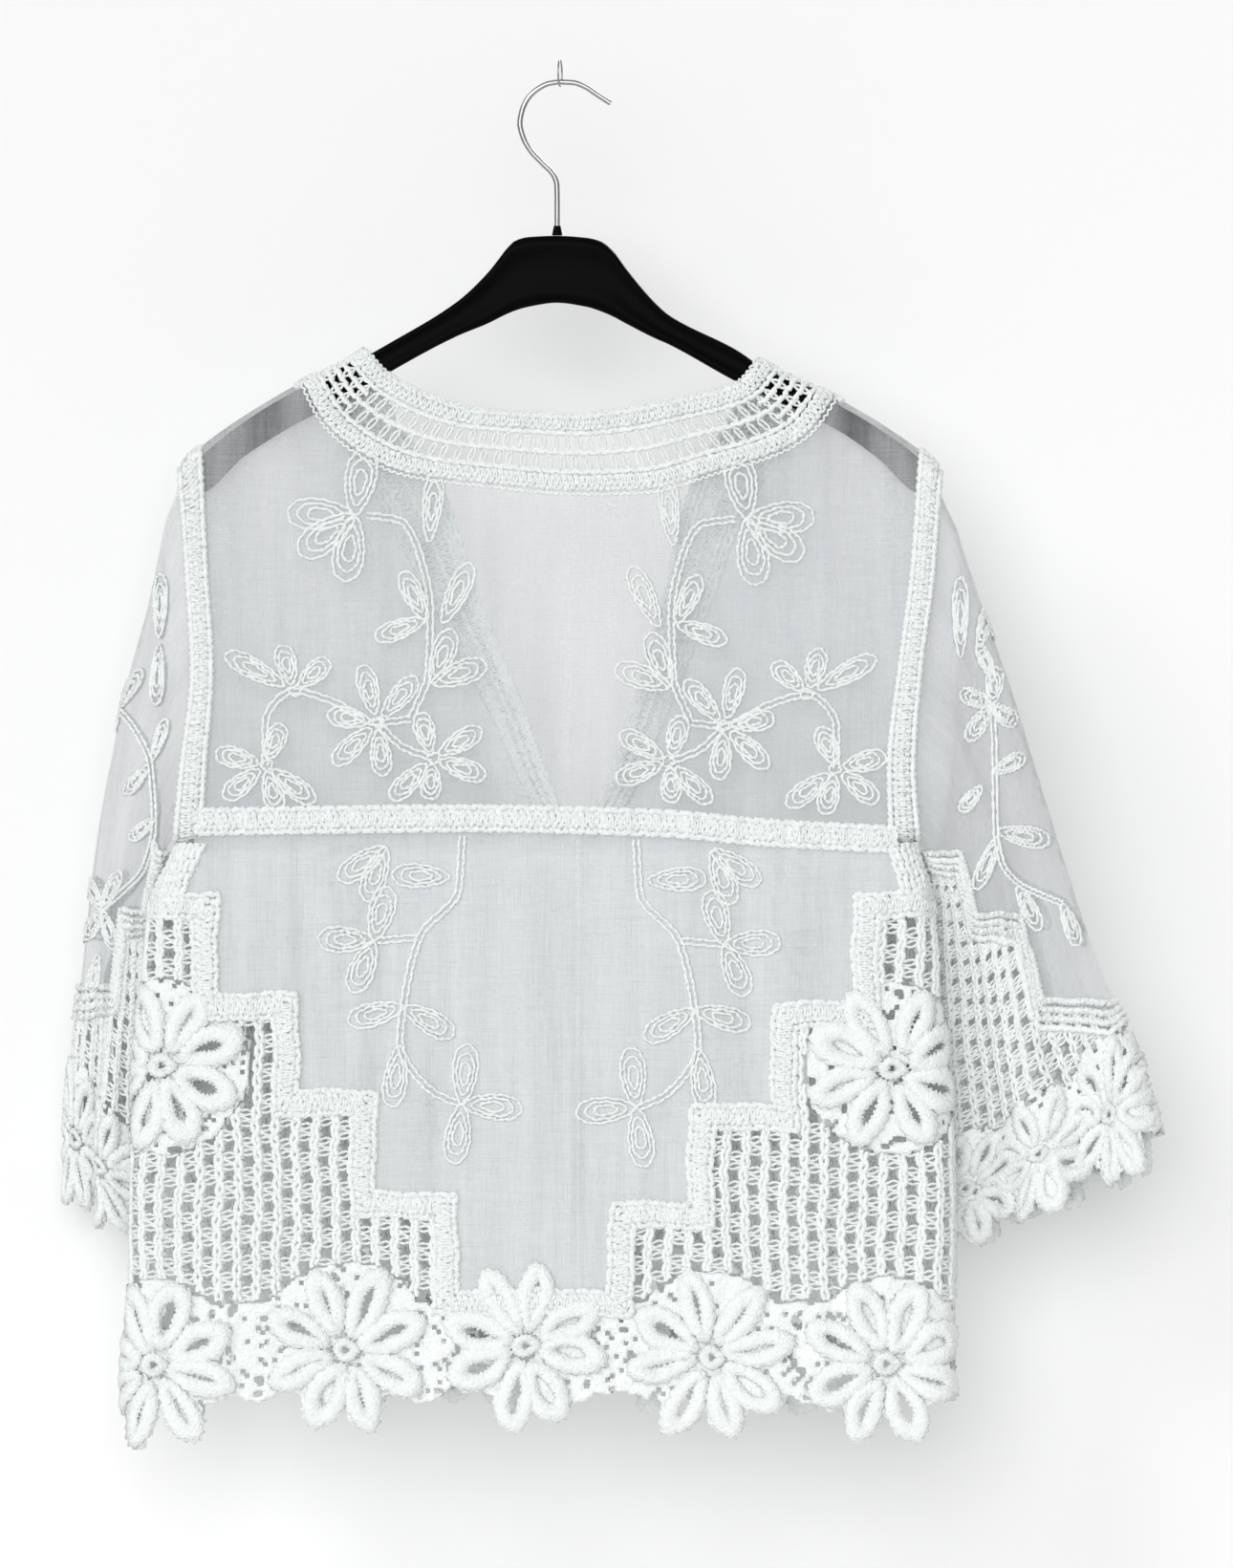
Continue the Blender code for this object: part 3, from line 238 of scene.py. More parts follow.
# %% [markdown]
# ## The hanging form of a sleeve
# A sleeve is a flat tube that widens into a bell. Each row of the table is one ring of it: the
# place of its outer fold and of its underarm fold, how far it sags between them, its depth, the
# way it faces and how strongly it flutes.
# %% Sleeve form
RING_COLUMNS = "t tx ty tz bx by bz out drop depth turn flute".split()
SLEEVE_RINGS = {
    "left": [(0.00, -217.5, 0, -238, -219.5, 0, -439, 0.2, 0.90, 10, 0, 0),
             (0.06, -223, 3, -264, -223, 11, -447, 1.0, 0.97, 11, 0, 0),
             (0.15, -231, 9, -300, -227, 24, -463, 1.0, 1.00, 12, 0, 0),
             (0.30, -247, 23, -358, -224, 38, -494, 0.95, 0.96, 14, -2, 1),
             (0.50, -262, 46, -435, -217, 44, -543, 0.80, 0.80, 15, -10, 2),
             (0.70, -272, 68, -515, -212, 47, -592, 0.68, 0.72, 16, -22, 5),
             (0.85, -278, 88, -580, -209, 48, -632, 0.62, 0.66, 16, -32, 8),
             (1.00, -281, 106, -645, -206, 50, -680, 0.56, 0.56, 16, -38, 9)],
    "right": [(0.00, 217.5, 0, -240, 204.8, 0, -441, 0.2, 0.90, 10, 0, 0),
              (0.06, 225, 0, -266, 207, 7, -450, 1.0, 0.97, 11, 0, 0),
              (0.15, 236, 0, -300, 207.5, 18, -468, 1.0, 1.00, 12, 0, 0),
              (0.30, 256, 0, -358, 206, 29, -498, 0.95, 0.96, 14, -4, 2),
              (0.50, 278, -2, -430, 207, 36, -545, 0.80, 0.82, 15, -9, 4),
              (0.70, 302, -4, -505, 209, 40, -592, 0.68, 0.72, 16, -14, 6),
              (0.85, 326, -5, -562, 210, 43, -632, 0.62, 0.66, 16, -17, 8),
              (1.00, 343, -6, -622, 213, 46, -680, 0.56, 0.56, 16, -19, 9)],
}
SLEEVE_WIDTH, SLEEVE_LENGTH = 150.0, 330.0     # one flat layer
SLEEVE_FLUTES = 2.3
BESIDE_TAPE, TAPE_CLEAR = 0.06, 0.7            # where the sleeve's head follows its armhole tape
ARMHOLE = np.array([(-215, -204, -215, 205, 215), (-290, -200, -210, 199, 210),
                    (-344, -197, -207, 192, 203), (-400, -201, -213, 186, 199),
                    (-441, -203, -217, 187, 202)], float)
ARM_EDGES = {(-1, "in"): 1, (-1, "out"): 2, (1, "in"): 3, (1, "out"): 4}
armhole_x = {key: smooth_curve(ARMHOLE[:, 0], ARMHOLE[:, k]) for key, k in ARM_EDGES.items()}


def sleeve_cloth(name, sign):
    rings = np.array(SLEEVE_RINGS[name], float)
    read = {c: smooth_curve(rings[:, 0], rings[:, k]) for k, c in enumerate(RING_COLUMNS)}

    def form(w, t):
        """The tube's wall: w is 0 at the outer fold, 1 at the underarm and 2 back again."""
        w = np.mod(w, 2)
        s, layer = np.where(w <= 1, w, 2 - w), np.where(w <= 1, BACK, FRONT)
        outer = np.stack([read["tx"](t), read["ty"](t), read["tz"](t)], 1)
        under = np.stack([read["bx"](t), read["by"](t), read["bz"](t)], 1)
        turn = np.radians(read["turn"](t))
        out, drop = read["out"](t), read["drop"](t)
        knee = np.stack([under[:, 0] + (outer[:, 0] - under[:, 0]) * out,
                         under[:, 1] + (outer[:, 1] - under[:, 1]) * out,
                         outer[:, 2] + (under[:, 2] - outer[:, 2]) * drop], 1)
        a, b, c = ((1 - s) ** 2)[:, None], (2 * s * (1 - s))[:, None], (s * s)[:, None]
        point = outer * a + knee * b + under * c
        beside_tape = (1 - np.minimum(t / BESIDE_TAPE, 1)) ** 2
        to_tape = armhole_x[sign, "out"](point[:, 2]) + sign * TAPE_CLEAR - point[:, 0]
        point[:, 0] += to_tape * beside_tape
        full = (4 * s * (1 - s)) ** 0.36
        wave = np.sin(2 * math.pi * SLEEVE_FLUTES * s + 0.5) * np.sin(math.pi * s)
        offset = -layer * np.maximum(read["depth"](t) * full, 0.2) + read["flute"](t) * wave
        point[:, 0] += np.sin(turn) * offset
        point[:, 1] -= np.cos(turn) * offset
        return point

    def place(u, v, lift):
        w, t = u / SLEEVE_WIDTH, np.clip(-v / SLEEVE_LENGTH, 0, 1)
        across = form(w + 0.04, t) - form(w - 0.04, t)
        down = form(w, np.minimum(t + 0.02, 1)) - form(w, np.maximum(t - 0.02, 0))
        out = np.cross(across, down) * sign
        out /= np.linalg.norm(out, axis=1)[:, None]
        return form(w, t) + out * (lift + crinkle(u, v, 2 + sign))[:, None]
    return place


sleeve_cloths = {"left": sleeve_cloth("left", -1), "right": sleeve_cloth("right", 1)}
cuff_corner = sleeve_cloths["right"](*np.array([[0.0], [-SLEEVE_LENGTH], [0.0]]))
print("right cuff's outer corner:", cuff_corner.round(1))

# %% [markdown]
# ## Cotton materials
# Gauze is so thin that what lies behind shows through, so its alpha is low. The alpha is uneven
# where a thread is thicker, in soft clouds, and in long upright folds where the cloth gathers.
# Light that comes in at a slant meets more threads than the eye does, so a shadow ray finds the
# cloth a little closer. Below the yoke tape the cloth is made closer, and its colour is made paler
# as painted light that brightens the lower cloth; a step in the flat height brings both about, and a
# sleeve's flat heights all lie above the step. The gauze of the fronts has a paler colour too, painted
# light for the front layer that hangs in the shade of the back. The slubs run along the threads, so
# they read the flat place that each point keeps as its thread attribute.
# Crochet cotton is thick, matt and a little fuzzy, with a fine twist.
# %% Materials
def new_material(name, **sockets):
    material = bpy.data.materials.new(name)
    material.use_nodes = True
    shader = material.node_tree.nodes["Principled BSDF"]
    for socket, value in sockets.items():
        shader.inputs[socket.replace("_", " ")].default_value = value
    return material, material.node_tree.nodes, material.node_tree.links, shader


def stretched_noise(nodes, links, source, scale, detail=3.0):
    """A noise that reads a vector stretched by a scale along each axis."""
    mapping = nodes.new("ShaderNodeMapping")
    mapping.inputs["Scale"].default_value = scale
    links.new(source, mapping.inputs["Vector"])
    noise = nodes.new("ShaderNodeTexNoise")
    noise.inputs["Scale"].default_value = 1.0
    noise.inputs["Detail"].default_value = detail
    links.new(mapping.outputs["Vector"], noise.inputs["Vector"])
    return noise.outputs["Fac"]


def blend_of(nodes, links, kind, first, second):
    node = nodes.new("ShaderNodeMath")
    node.operation = kind
    for slot, value in zip(node.inputs, (first, second)):
        if isinstance(value, float):
            slot.default_value = value
        else:
            links.new(value, slot)
    return node.outputs[0]


def ranged(nodes, links, value, low, high, to_low, to_high):
    node = nodes.new("ShaderNodeMapRange")
    limits = {"From Min": low, "From Max": high, "To Min": to_low, "To Max": to_high}
    for socket, number in limits.items():
        node.inputs[socket].default_value = number
    links.new(value, node.inputs["Value"])
    return node.outputs["Result"]


def two_colours(nodes, links, factor, dark, light):
    ramp = nodes.new("ShaderNodeValToRGB")
    ramp.color_ramp.elements[0].color = (*dark, 1)
    ramp.color_ramp.elements[1].color = (*light, 1)
    links.new(factor, ramp.inputs["Fac"])
    return ramp.outputs["Color"]


def bumped(nodes, links, height, distance, shader, strength=1.0):
    bump = nodes.new("ShaderNodeBump")
    bump.inputs["Distance"].default_value = distance
    bump.inputs["Strength"].default_value = strength
    links.new(height, bump.inputs["Height"])
    links.new(bump.outputs["Normal"], shader.inputs["Normal"])


DEEPER_SHADE = 1.4                 # how much closer the cloth is to a slanting ray of light
MOST_COVER = 0.97                  # gauze is never quite shut
TAPE_FOOT, BELOW_STEP_FROM = -430.0, -450.0          # flat heights of the step below the yoke tape
# painted light: a paler colour that brightens the gauze below the yoke tape
PAINTED_LIGHT_COTTON, PAINTED_LIGHT_SHARE = (0.95, 0.975, 0.99), 0.9


def paler_below(nodes, links, colour, height):
    """The same colour above the yoke tape and a paler one below it, painted light that brightens the
    lower gauze.
    """
    mix = nodes.new("ShaderNodeMix")
    mix.data_type = "RGBA"
    sockets = {socket.identifier: socket for socket in mix.inputs}
    sockets["B_Color"].default_value = (*PAINTED_LIGHT_COTTON, 1)
    links.new(colour, sockets["A_Color"])
    share = ranged(nodes, links, height, TAPE_FOOT, BELOW_STEP_FROM, 0.0, PAINTED_LIGHT_SHARE)
    links.new(share, sockets["Factor_Float"])
    return next(out for out in mix.outputs if out.identifier == "Result_Color")


def make_gauze(name, thin, dense, dark, light, closer_below):
    """Thin and dense are the cover between and on the slubs, and below the tape more is added."""
    material, nodes, links, shader = new_material(name, Roughness=0.92, Sheen_Weight=0.25,
                                                  Sheen_Roughness=0.5, Specular_IOR_Level=0.15)
    thread = nodes.new("ShaderNodeAttribute")
    thread.attribute_name = "thread"
    split = nodes.new("ShaderNodeSeparateXYZ")
    links.new(thread.outputs["Vector"], split.inputs["Vector"])
    height = split.outputs["Y"]
    warp = stretched_noise(nodes, links, thread.outputs["Vector"], (1.1, 0.035, 1.0))
    weft = stretched_noise(nodes, links, thread.outputs["Vector"], (0.04, 1.3, 1.0))
    cloud = stretched_noise(nodes, links, thread.outputs["Vector"], (0.02, 0.012, 1.0), 2.0)
    folds = stretched_noise(nodes, links, thread.outputs["Vector"], (0.045, 0.005, 1.0), 3.0)
    weave = blend_of(nodes, links, "ADD", warp, weft)
    colour = two_colours(nodes, links, ranged(nodes, links, weave, 0.7, 1.3, 0.0, 1.0), dark, light)
    # the colour turns paler below the yoke tape, as painted light
    links.new(paler_below(nodes, links, colour, height), shader.inputs["Base Color"])
    cover = ranged(nodes, links, weave, 0.6, 1.4, thin, dense)
    for part in (ranged(nodes, links, cloud, 0.3, 0.7, -0.03, 0.03),
                 ranged(nodes, links, folds, 0.35, 0.65, -0.08, 0.10),
                 ranged(nodes, links, height, TAPE_FOOT, BELOW_STEP_FROM, 0.0, closer_below)):
        cover = blend_of(nodes, links, "ADD", cover, part)
    shadow = nodes.new("ShaderNodeLightPath").outputs["Is Shadow Ray"]
    deeper = ranged(nodes, links, shadow, 0.0, 1.0, 1.0, DEEPER_SHADE)
    cover = blend_of(nodes, links, "MULTIPLY", cover, deeper)
    links.new(blend_of(nodes, links, "MINIMUM", cover, MOST_COVER), shader.inputs["Alpha"])
    bumped(nodes, links, weave, 0.0008, shader)
    return material


def make_crochet():
    material, nodes, links, shader = new_material("crochet_cotton", Roughness=0.88, Sheen_Weight=0.3,
                                                  Sheen_Roughness=0.45, Specular_IOR_Level=0.2)
    place = nodes.new("ShaderNodeTexCoord").outputs["Object"]
    twist = stretched_noise(nodes, links, place, (900.0, 900.0, 900.0), 2.0)
    tuft = stretched_noise(nodes, links, place, (420.0, 420.0, 420.0), 4.0)
    mix = blend_of(nodes, links, "ADD", twist, tuft)
    colour = two_colours(nodes, links, ranged(nodes, links, mix, 0.7, 1.3, 0.0, 1.0),
                         (0.88, 0.93, 0.92), (0.96, 0.985, 0.98))
    links.new(colour, shader.inputs["Base Color"])
    bumped(nodes, links, mix, 0.0011, shader)
    return material


gauze = make_gauze("cotton_gauze", 0.12, 0.23, (0.82, 0.85, 0.88), (0.89, 0.91, 0.93), 0.32)
# painted light: the fronts' gauze is the back's cloth with a paler colour, to brighten it where it
# hangs in the back's shade
front_gauze_painted_paler = make_gauze("cotton_gauze_of_the_fronts_painted_paler", 0.44, 0.58,
                         (0.88, 0.91, 0.925), (0.95, 0.965, 0.97), 0.06)
crochet = make_crochet()
print("materials:", gauze.name, front_gauze_painted_paler.name, crochet.name)

# %% [markdown]
# ## Tools of the cutting table
# A cloth piece starts as a flat grid. Faces outside its outline are deleted and the ragged edge is
# pulled onto the outline, as scissors would cut it. Solidify gives it a wall, and then it is laid
# on the form. Each point keeps its flat place for the weave.
# %% Flat pieces
def inside(polygon, points):
    corners = np.asarray(polygon, float)
    result = np.zeros(len(points), bool)
    for (x1, y1), (x2, y2) in zip(corners, np.roll(corners, -1, axis=0)):
        crosses = (y1 > points[:, 1]) != (y2 > points[:, 1])
        at = x1 + (points[:, 1] - y1) * (x2 - x1) / (y2 - y1 if y2 != y1 else 1)
        result ^= crosses & (points[:, 0] < at)
    return result


def nearest_on(polygon, points):
    """The nearest place on a closed outline to each point."""
    corners = np.asarray(polygon, float)
    runs = np.roll(corners, -1, axis=0) - corners
    away = points[:, None] - corners[None]
    share = (away * runs).sum(2) / np.maximum((runs * runs).sum(1), 1e-9)
    on_edge = corners[None] + runs[None] * share.clip(0, 1)[..., None]
    best = np.linalg.norm(on_edge - points[:, None], axis=2).argmin(1)
    return on_edge[np.arange(len(points)), best]


def flat_grid(low, high, step_u, step_v):
    bm = bmesh.new()
    size = np.array(high, float) - low
    count = (max(2, round(size[0] / step_u)), max(2, round(size[1] / step_v)))
    bmesh.ops.create_grid(bm, x_segments=count[0], y_segments=count[1], size=0.5)
    bmesh.ops.scale(bm, verts=bm.verts, vec=(size[0], size[1], 1))
    middle = (np.array(low) + high) / 2
    bmesh.ops.translate(bm, verts=bm.verts, vec=(middle[0], middle[1], 0))
    return bm


def drop_faces(bm, keep):
    """Deletes the faces whose middle isn't kept, with what hangs loose after."""
    middles = np.array([face.calc_center_median()[:2] for face in bm.faces])
    kept = keep(middles)
    gone = [face for face, ok in zip(bm.faces, kept) if not ok]
    bmesh.ops.delete(bm, geom=gone, context="FACES")


def cut_piece(outline, step_u, step_v, snap=4.0, keep=None):
    """A flat grid cut to an outline, with its edge pulled onto it."""
    outline = np.asarray(outline, float)
    bm = flat_grid(outline.min(0), outline.max(0), step_u, step_v)
    drop_faces(bm, lambda p: inside(outline, p) & (keep(p) if keep else True))
    edge = [vert for vert in bm.verts if vert.is_boundary]
    flat = np.array([vert.co[:2] for vert in edge])
    onto = nearest_on(outline, flat)
    for vert, place, old in zip(edge, onto, flat):
        if np.hypot(*(place - old)) < snap:
            vert.co.x, vert.co.y = place
    return bm


def lay(bm, cloth, base_lift=0.0):
    """Moves a flat piece onto its cloth and keeps each point's flat place as its thread."""
    flat = np.array([vert.co for vert in bm.verts], float)
    thread = bm.verts.layers.float_vector.new("thread")
    places = cloth(flat[:, 0], flat[:, 1], flat[:, 2] + base_lift) * MM
    for vert, place, old in zip(bm.verts, places, flat):
        vert[thread] = old
        vert.co = place


pieces = {}


def finish_piece(name, bm, material):
    bmesh.ops.recalc_face_normals(bm, faces=bm.faces)
    mesh = bpy.data.meshes.new(name)
    bm.to_mesh(mesh)
    bm.free()
    return link_piece(name, mesh, material)


def link_piece(name, mesh, material):
    mesh.materials.clear()
    mesh.materials.append(material)
    mesh.shade_smooth()
    piece = bpy.data.objects.new(name, mesh)
    bpy.context.scene.collection.objects.link(piece)
    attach(piece, "root")
    mesh.calc_loop_triangles()
    print(name, len(mesh.loop_triangles), "triangles")
    pieces[name] = piece
    return piece


def walled(bm, thickness):
    """Gives a flat piece its wall, half of it on each side."""
    bmesh.ops.recalc_face_normals(bm, faces=bm.faces)
    bmesh.ops.solidify(bm, geom=bm.faces[:], thickness=thickness)
    heights = [vert.co.z for vert in bm.verts]
    middle = (min(heights) + max(heights)) / 2
    bmesh.ops.translate(bm, verts=bm.verts, vec=(0, 0, -middle))


# %% [markdown]
# ## Yarn
# Chain stitches, crochet strands and net threads are all yarn: a line on the cloth with a round
# section that swells once a stitch. A curve with a bevel makes thousands of such threads quickly,
# and a little sway from side to side makes the strand look worked by hand.
# %% Threads on the cloth
def walk(path, step):
    """Even steps along a path of u, v and lift."""
    path = np.asarray(path, float)
    if path.shape[1] == 2:
        path = np.column_stack([path, np.zeros(len(path))])
    gone = np.concatenate([[0], np.cumsum(np.hypot(*np.diff(path[:, :2], axis=0).T))])
    at = np.linspace(0, gone[-1], max(2, math.ceil(gone[-1] / step) + 1))
    return at, np.stack([np.interp(at, gone, path[:, k]) for k in range(3)], 1)


def yarn(name, paths, cloth, radius, material=None, stitch=3.2, bead=0.3,
         sway=0.0, step=1.7, lift=0.0, sides=1):
    """One mesh of many threads laid on a cloth."""
    dice = random.Random(name)
    flats, thicks = [], []
    for path in paths:
        at, points = walk(path, step)
        phase = dice.uniform(0, 2 * math.pi)
        beat = 2 * math.pi * at / stitch + phase
        run = np.gradient(points[:, :2], axis=0)
        run /= np.maximum(np.linalg.norm(run, axis=1), 1e-6)[:, None]
        points[:, 0] -= run[:, 1] * sway * np.sin(beat / 2)
        points[:, 1] += run[:, 0] * sway * np.sin(beat / 2)
        points[:, 2] += lift
        flats.append(points)
        thicks.append(1 + bead * np.cos(beat))
    every = np.concatenate(flats)
    places = cloth(every[:, 0], every[:, 1], every[:, 2]) * MM
    curve = bpy.data.curves.new(name, "CURVE")
    curve.dimensions = "3D"
    curve.bevel_depth = radius * MM
    curve.bevel_resolution = sides
    curve.use_fill_caps = True
    start = 0
    for points, thick in zip(flats, thicks):
        spline = curve.splines.new("POLY")
        spline.points.add(len(points) - 1)
        place = places[start:start + len(points)]
        start += len(points)
        spline.points.foreach_set("co", np.column_stack([place, np.ones(len(place))]).ravel())
        spline.points.foreach_set("radius", thick)
    holder = bpy.data.objects.new(name + "_line", curve)
    bpy.context.scene.collection.objects.link(holder)
    seen = holder.evaluated_get(bpy.context.evaluated_depsgraph_get())
    mesh = bpy.data.meshes.new_from_object(seen)
    mesh.name = name
    bpy.data.objects.remove(holder)
    return link_piece(name, mesh, material or crochet)


def beside(path, offset):
    """The same path moved sideways, to its left for a positive offset."""
    path = np.asarray(path, float)
    run = np.gradient(path, axis=0)
    run /= np.maximum(np.linalg.norm(run, axis=1), 1e-6)[:, None]
    return path + np.stack([-run[:, 1], run[:, 0]], 1) * offset


def zigzag(path, reach, pitch=3.3):
    """Stitches that go to and fro across a tape along its middle line."""
    at, points = walk(path, pitch / 4)
    run = np.gradient(points[:, :2], axis=0)
    run /= np.maximum(np.linalg.norm(run, axis=1), 1e-6)[:, None]
    swing = reach * np.sin(2 * math.pi * at / pitch) * (1 + 0.12 * np.sin(at / 2.3))
    points[:, 0] -= run[:, 1] * swing
    points[:, 1] += run[:, 0] * swing
    return points


# %% [markdown]
# ## Gauze of the back
# The back is two pieces of gauze joined under a crochet tape: the yoke, up to the neckband and the
# shoulder seams, and the lower back, whose foot follows the stepped border. Each edge runs on a
# little under the crochet that covers it.
# %% Gauze outlines
NECK_EDGE = [(-114, -158.8), (-98, -177), (-68, -192), (-46, -198), (-14, -200), (8, -201),
             (35, -198), (67, -192), (100, -183), (116, -163.8)]
NECKBAND_FOOT = [(-148.5, -175.3), (-132, -206), (-104, -227), (-84, -234), (-46, -239), (13, -244),
                 (49, -243), (89, -232), (121, -222), (140, -211), (159, -184.8)]
YOKE_TAPE = [(-206, -430), (-46, -428), (7, -429), (61, -431), (115, -436), (190, -440)]
STEPS_LEFT = [(-193, -470), (-148, -527), (-104, -582), (-58, -639)]
STEPS_RIGHT = [(166, -470), (120, -532), (73, -590), (28, -645)]
STEP_FOOT_Z, LACE_TOP_Z = -694.0, -470.0
UNDER_CROCHET = 5.0        # how far gauze runs on under the crochet


def arm_line(sign, foot, grow=UNDER_CROCHET):
    """A panel's edge along the armhole tape, from the shoulder down."""
    top = float(seam_v(armhole_x[sign, "in"](-216)))
    heights = np.linspace(top, foot, 12)
    return [(float(armhole_x[sign, "in"](min(v, -216.0))) + sign * grow, v) for v in heights]


def shoulder_line(x_from, x_to):
    xs = np.linspace(x_from, x_to, 12)
    return [(x, float(seam_v(x))) for x in xs]


def steps_down(steps, sign, drop=0.0):
    """The corners of a stepped edge from the side to the middle, moved out towards the lace."""
    line = []
    for k, (x, z) in enumerate(steps):
        below = steps[k + 1][1] if k + 1 < len(steps) else STEP_FOOT_Z
        line += [(x + sign * drop, z - drop), (x + sign * drop, below - drop)]
    return line


yoke_outline = [(x, v + UNDER_CROCHET) for x, v in smooth_path(NECKBAND_FOOT, 6)[::-1]]
yoke_outline += shoulder_line(-148.5, -206)[1:] + arm_line(-1, -430)
yoke_outline += list(smooth_path(YOKE_TAPE, 20))
yoke_outline += arm_line(1, -438)[::-1] + shoulder_line(206, 159)
lower_outline = list(smooth_path(YOKE_TAPE, 20))
lower_outline += [(float(right_edge(v)) + 2, v) for v in (-450, -460, -475)]
lower_outline += steps_down(STEPS_RIGHT, 1, UNDER_CROCHET)
lower_outline += steps_down(STEPS_LEFT, -1, UNDER_CROCHET)[::-1]
lower_outline += [(float(left_edge(v)) - 2, v) for v in (-475, -460, -450)]

# %% Cut and lay the gauze of the back
GAUZE_WALL = 0.5
GAUZE_STEP = (2.4, 6.0)
for name, outline in (("gauze_back_yoke", yoke_outline), ("gauze_back_lower", lower_outline)):
    bm = cut_piece(outline, *GAUZE_STEP)
    walled(bm, GAUZE_WALL)
    lay(bm, back_cloth)
    finish_piece(name, bm, gauze)
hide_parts("back_yoke")
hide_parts("back_lower")

# %% [markdown]
# ## Gauze of the fronts
# Each front is one piece from the shoulder to its own stepped border, cut away along the V of the
# neck. The two meet at the centre front.
# %% Cut and lay the fronts
V_EDGES = {"left": [(-114, -158.8), (-92, -205), (-68, -241), (-48, -300), (-22, -365), (-3, -416),
                    (9.7, -440)],
           "right": [(116, -163.8), (95, -205), (75, -241), (56, -316), (35, -386), (24, -416),
                     (10.3, -440)]}
V_BANDS = {"left": [(-148.5, -175.3), (-122, -215), (-100, -250), (-72, -305), (-38, -368),
                    (-14, -420), (4, -441)],
           "right": [(159, -184.8), (130, -215), (106, -250), (79, -320), (52, -386), (36, -420),
                     (16, -441)]}
CENTRE_FRONT, CENTRE_GAP = 10.0, 0.4
front_outlines = {}
for name, sign, steps, side_edge in (("left", -1, STEPS_LEFT, left_edge),
                                     ("right", 1, STEPS_RIGHT, right_edge)):
    centre = CENTRE_FRONT + sign * CENTRE_GAP
    outline = [(x - sign * UNDER_CROCHET, v) for x, v in smooth_path(V_BANDS[name], 8)[::-1]]
    outline += shoulder_line(sign * 150, sign * 206) + arm_line(sign, -441)
    outline += [(float(side_edge(v)) + sign * 2, v) for v in (-450, -475)]
    outline += steps_down(steps, sign, UNDER_CROCHET)
    outline += [(centre, STEP_FOOT_Z - UNDER_CROCHET), (centre, -443)]
    front_outlines[name] = outline
    bm = cut_piece(outline, *GAUZE_STEP)
    walled(bm, GAUZE_WALL)
    lay(bm, front_cloth)
    finish_piece("gauze_front_" + name, bm, front_gauze_painted_paler)
    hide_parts("front_" + name)

# %% [markdown]
# ## Gauze of the sleeves
# A sleeve is one piece sewn into a tube, so its grid goes once round and its two edges are merged
# into the seam. Its foot is stepped like the body's border, and the tops of the steps hang level.
# Because a hanging sleeve is twisted, a helper finds the flat place that is seen at a given
# width and height from behind.
# %% Places seen on a sleeve
SEARCH_GRID, SEARCH_ROUNDS, LONGEST_MOVE = (75, 110), 5, 4.0
SLEEVE_RIM = 4.0            # the search keeps this far from the sleeve's two ends


def from_behind(name, points):
    """Flat places on a sleeve's outer layer that are seen at x, z from behind."""
    cloth = sleeve_cloths[name]

    def seen(u, v):
        return cloth(u, v, np.zeros(len(u)))[:, [0, 2]]
    us = np.linspace(1, SLEEVE_WIDTH - 1, SEARCH_GRID[0])
    vs = np.linspace(-SLEEVE_RIM, SLEEVE_RIM - SLEEVE_LENGTH, SEARCH_GRID[1])
    u, v = (grid.ravel() for grid in np.meshgrid(us, vs))
    wanted, tried = np.array(points, float), seen(u, v)
    nearest = [int(((tried - place) ** 2).sum(1).argmin()) for place in wanted]
    u, v = u[nearest], v[nearest]
    for _ in range(SEARCH_ROUNDS):
        here = seen(u, v)
        by_u, by_v, miss = seen(u + 1, v) - here, seen(u, v + 1) - here, wanted - here
        size = by_u[:, 0] * by_v[:, 1] - by_u[:, 1] * by_v[:, 0]
        size = np.where(abs(size) < 0.05, 0.05, size)
        move_u = (miss[:, 0] * by_v[:, 1] - miss[:, 1] * by_v[:, 0]) / size
        move_v = (by_u[:, 0] * miss[:, 1] - by_u[:, 1] * miss[:, 0]) / size
        u = u + np.clip(move_u, -LONGEST_MOVE, LONGEST_MOVE)
        v = v + np.clip(move_v, -LONGEST_MOVE, LONGEST_MOVE)
        u, v = np.clip(u, 0.5, SLEEVE_WIDTH - 0.5), np.clip(v, SLEEVE_RIM - SLEEVE_LENGTH, -3)
    return np.column_stack([u, v])


# %% Sleeve tubes
STEP_HEIGHTS = {"left": (-523.0, -480.0, -447.0), "right": (-530.0, -482.0, -447.0)}
STEP_CORNERS = {"left": [(-254, -523), (-236, -480)], "right": [(272, -530), (236, -482)]}
SLEEVE_REACH = 0.8      # share of a sleeve's length that its gauze reaches down at most
across = np.linspace(0, SLEEVE_WIDTH, 151)
HALVINGS = 22           # of the search for the flat height that hangs at a given level
lace_tops = {}
for name in ("left", "right"):
    levels = []
    for height in STEP_HEIGHTS[name]:
        high = np.full(len(across), -2.0)
        low = np.full(len(across), -SLEEVE_REACH * SLEEVE_LENGTH)
        for _ in range(HALVINGS):
            middle = (high + low) / 2
            above = sleeve_cloths[name](across, middle, np.zeros(len(across)))[:, 2] > height
            high, low = np.where(above, middle, high), np.where(above, low, middle)
        levels.append(high)
    first, second = from_behind(name, STEP_CORNERS[name])[:, 0]
    lace_tops[name] = np.where(across < first, levels[0],
                               np.where(across < second, levels[1], levels[2]))
    print(name, "sleeve's steps turn at", first.round(1), second.round(1))


def lace_top(name, u):
    """How far down a sleeve its lace starts, in flat millimetres."""
    w = np.mod(np.asarray(u, float) / SLEEVE_WIDTH, 2)
    return np.interp(np.where(w <= 1, w, 2 - w) * SLEEVE_WIDTH, across, lace_tops[name])


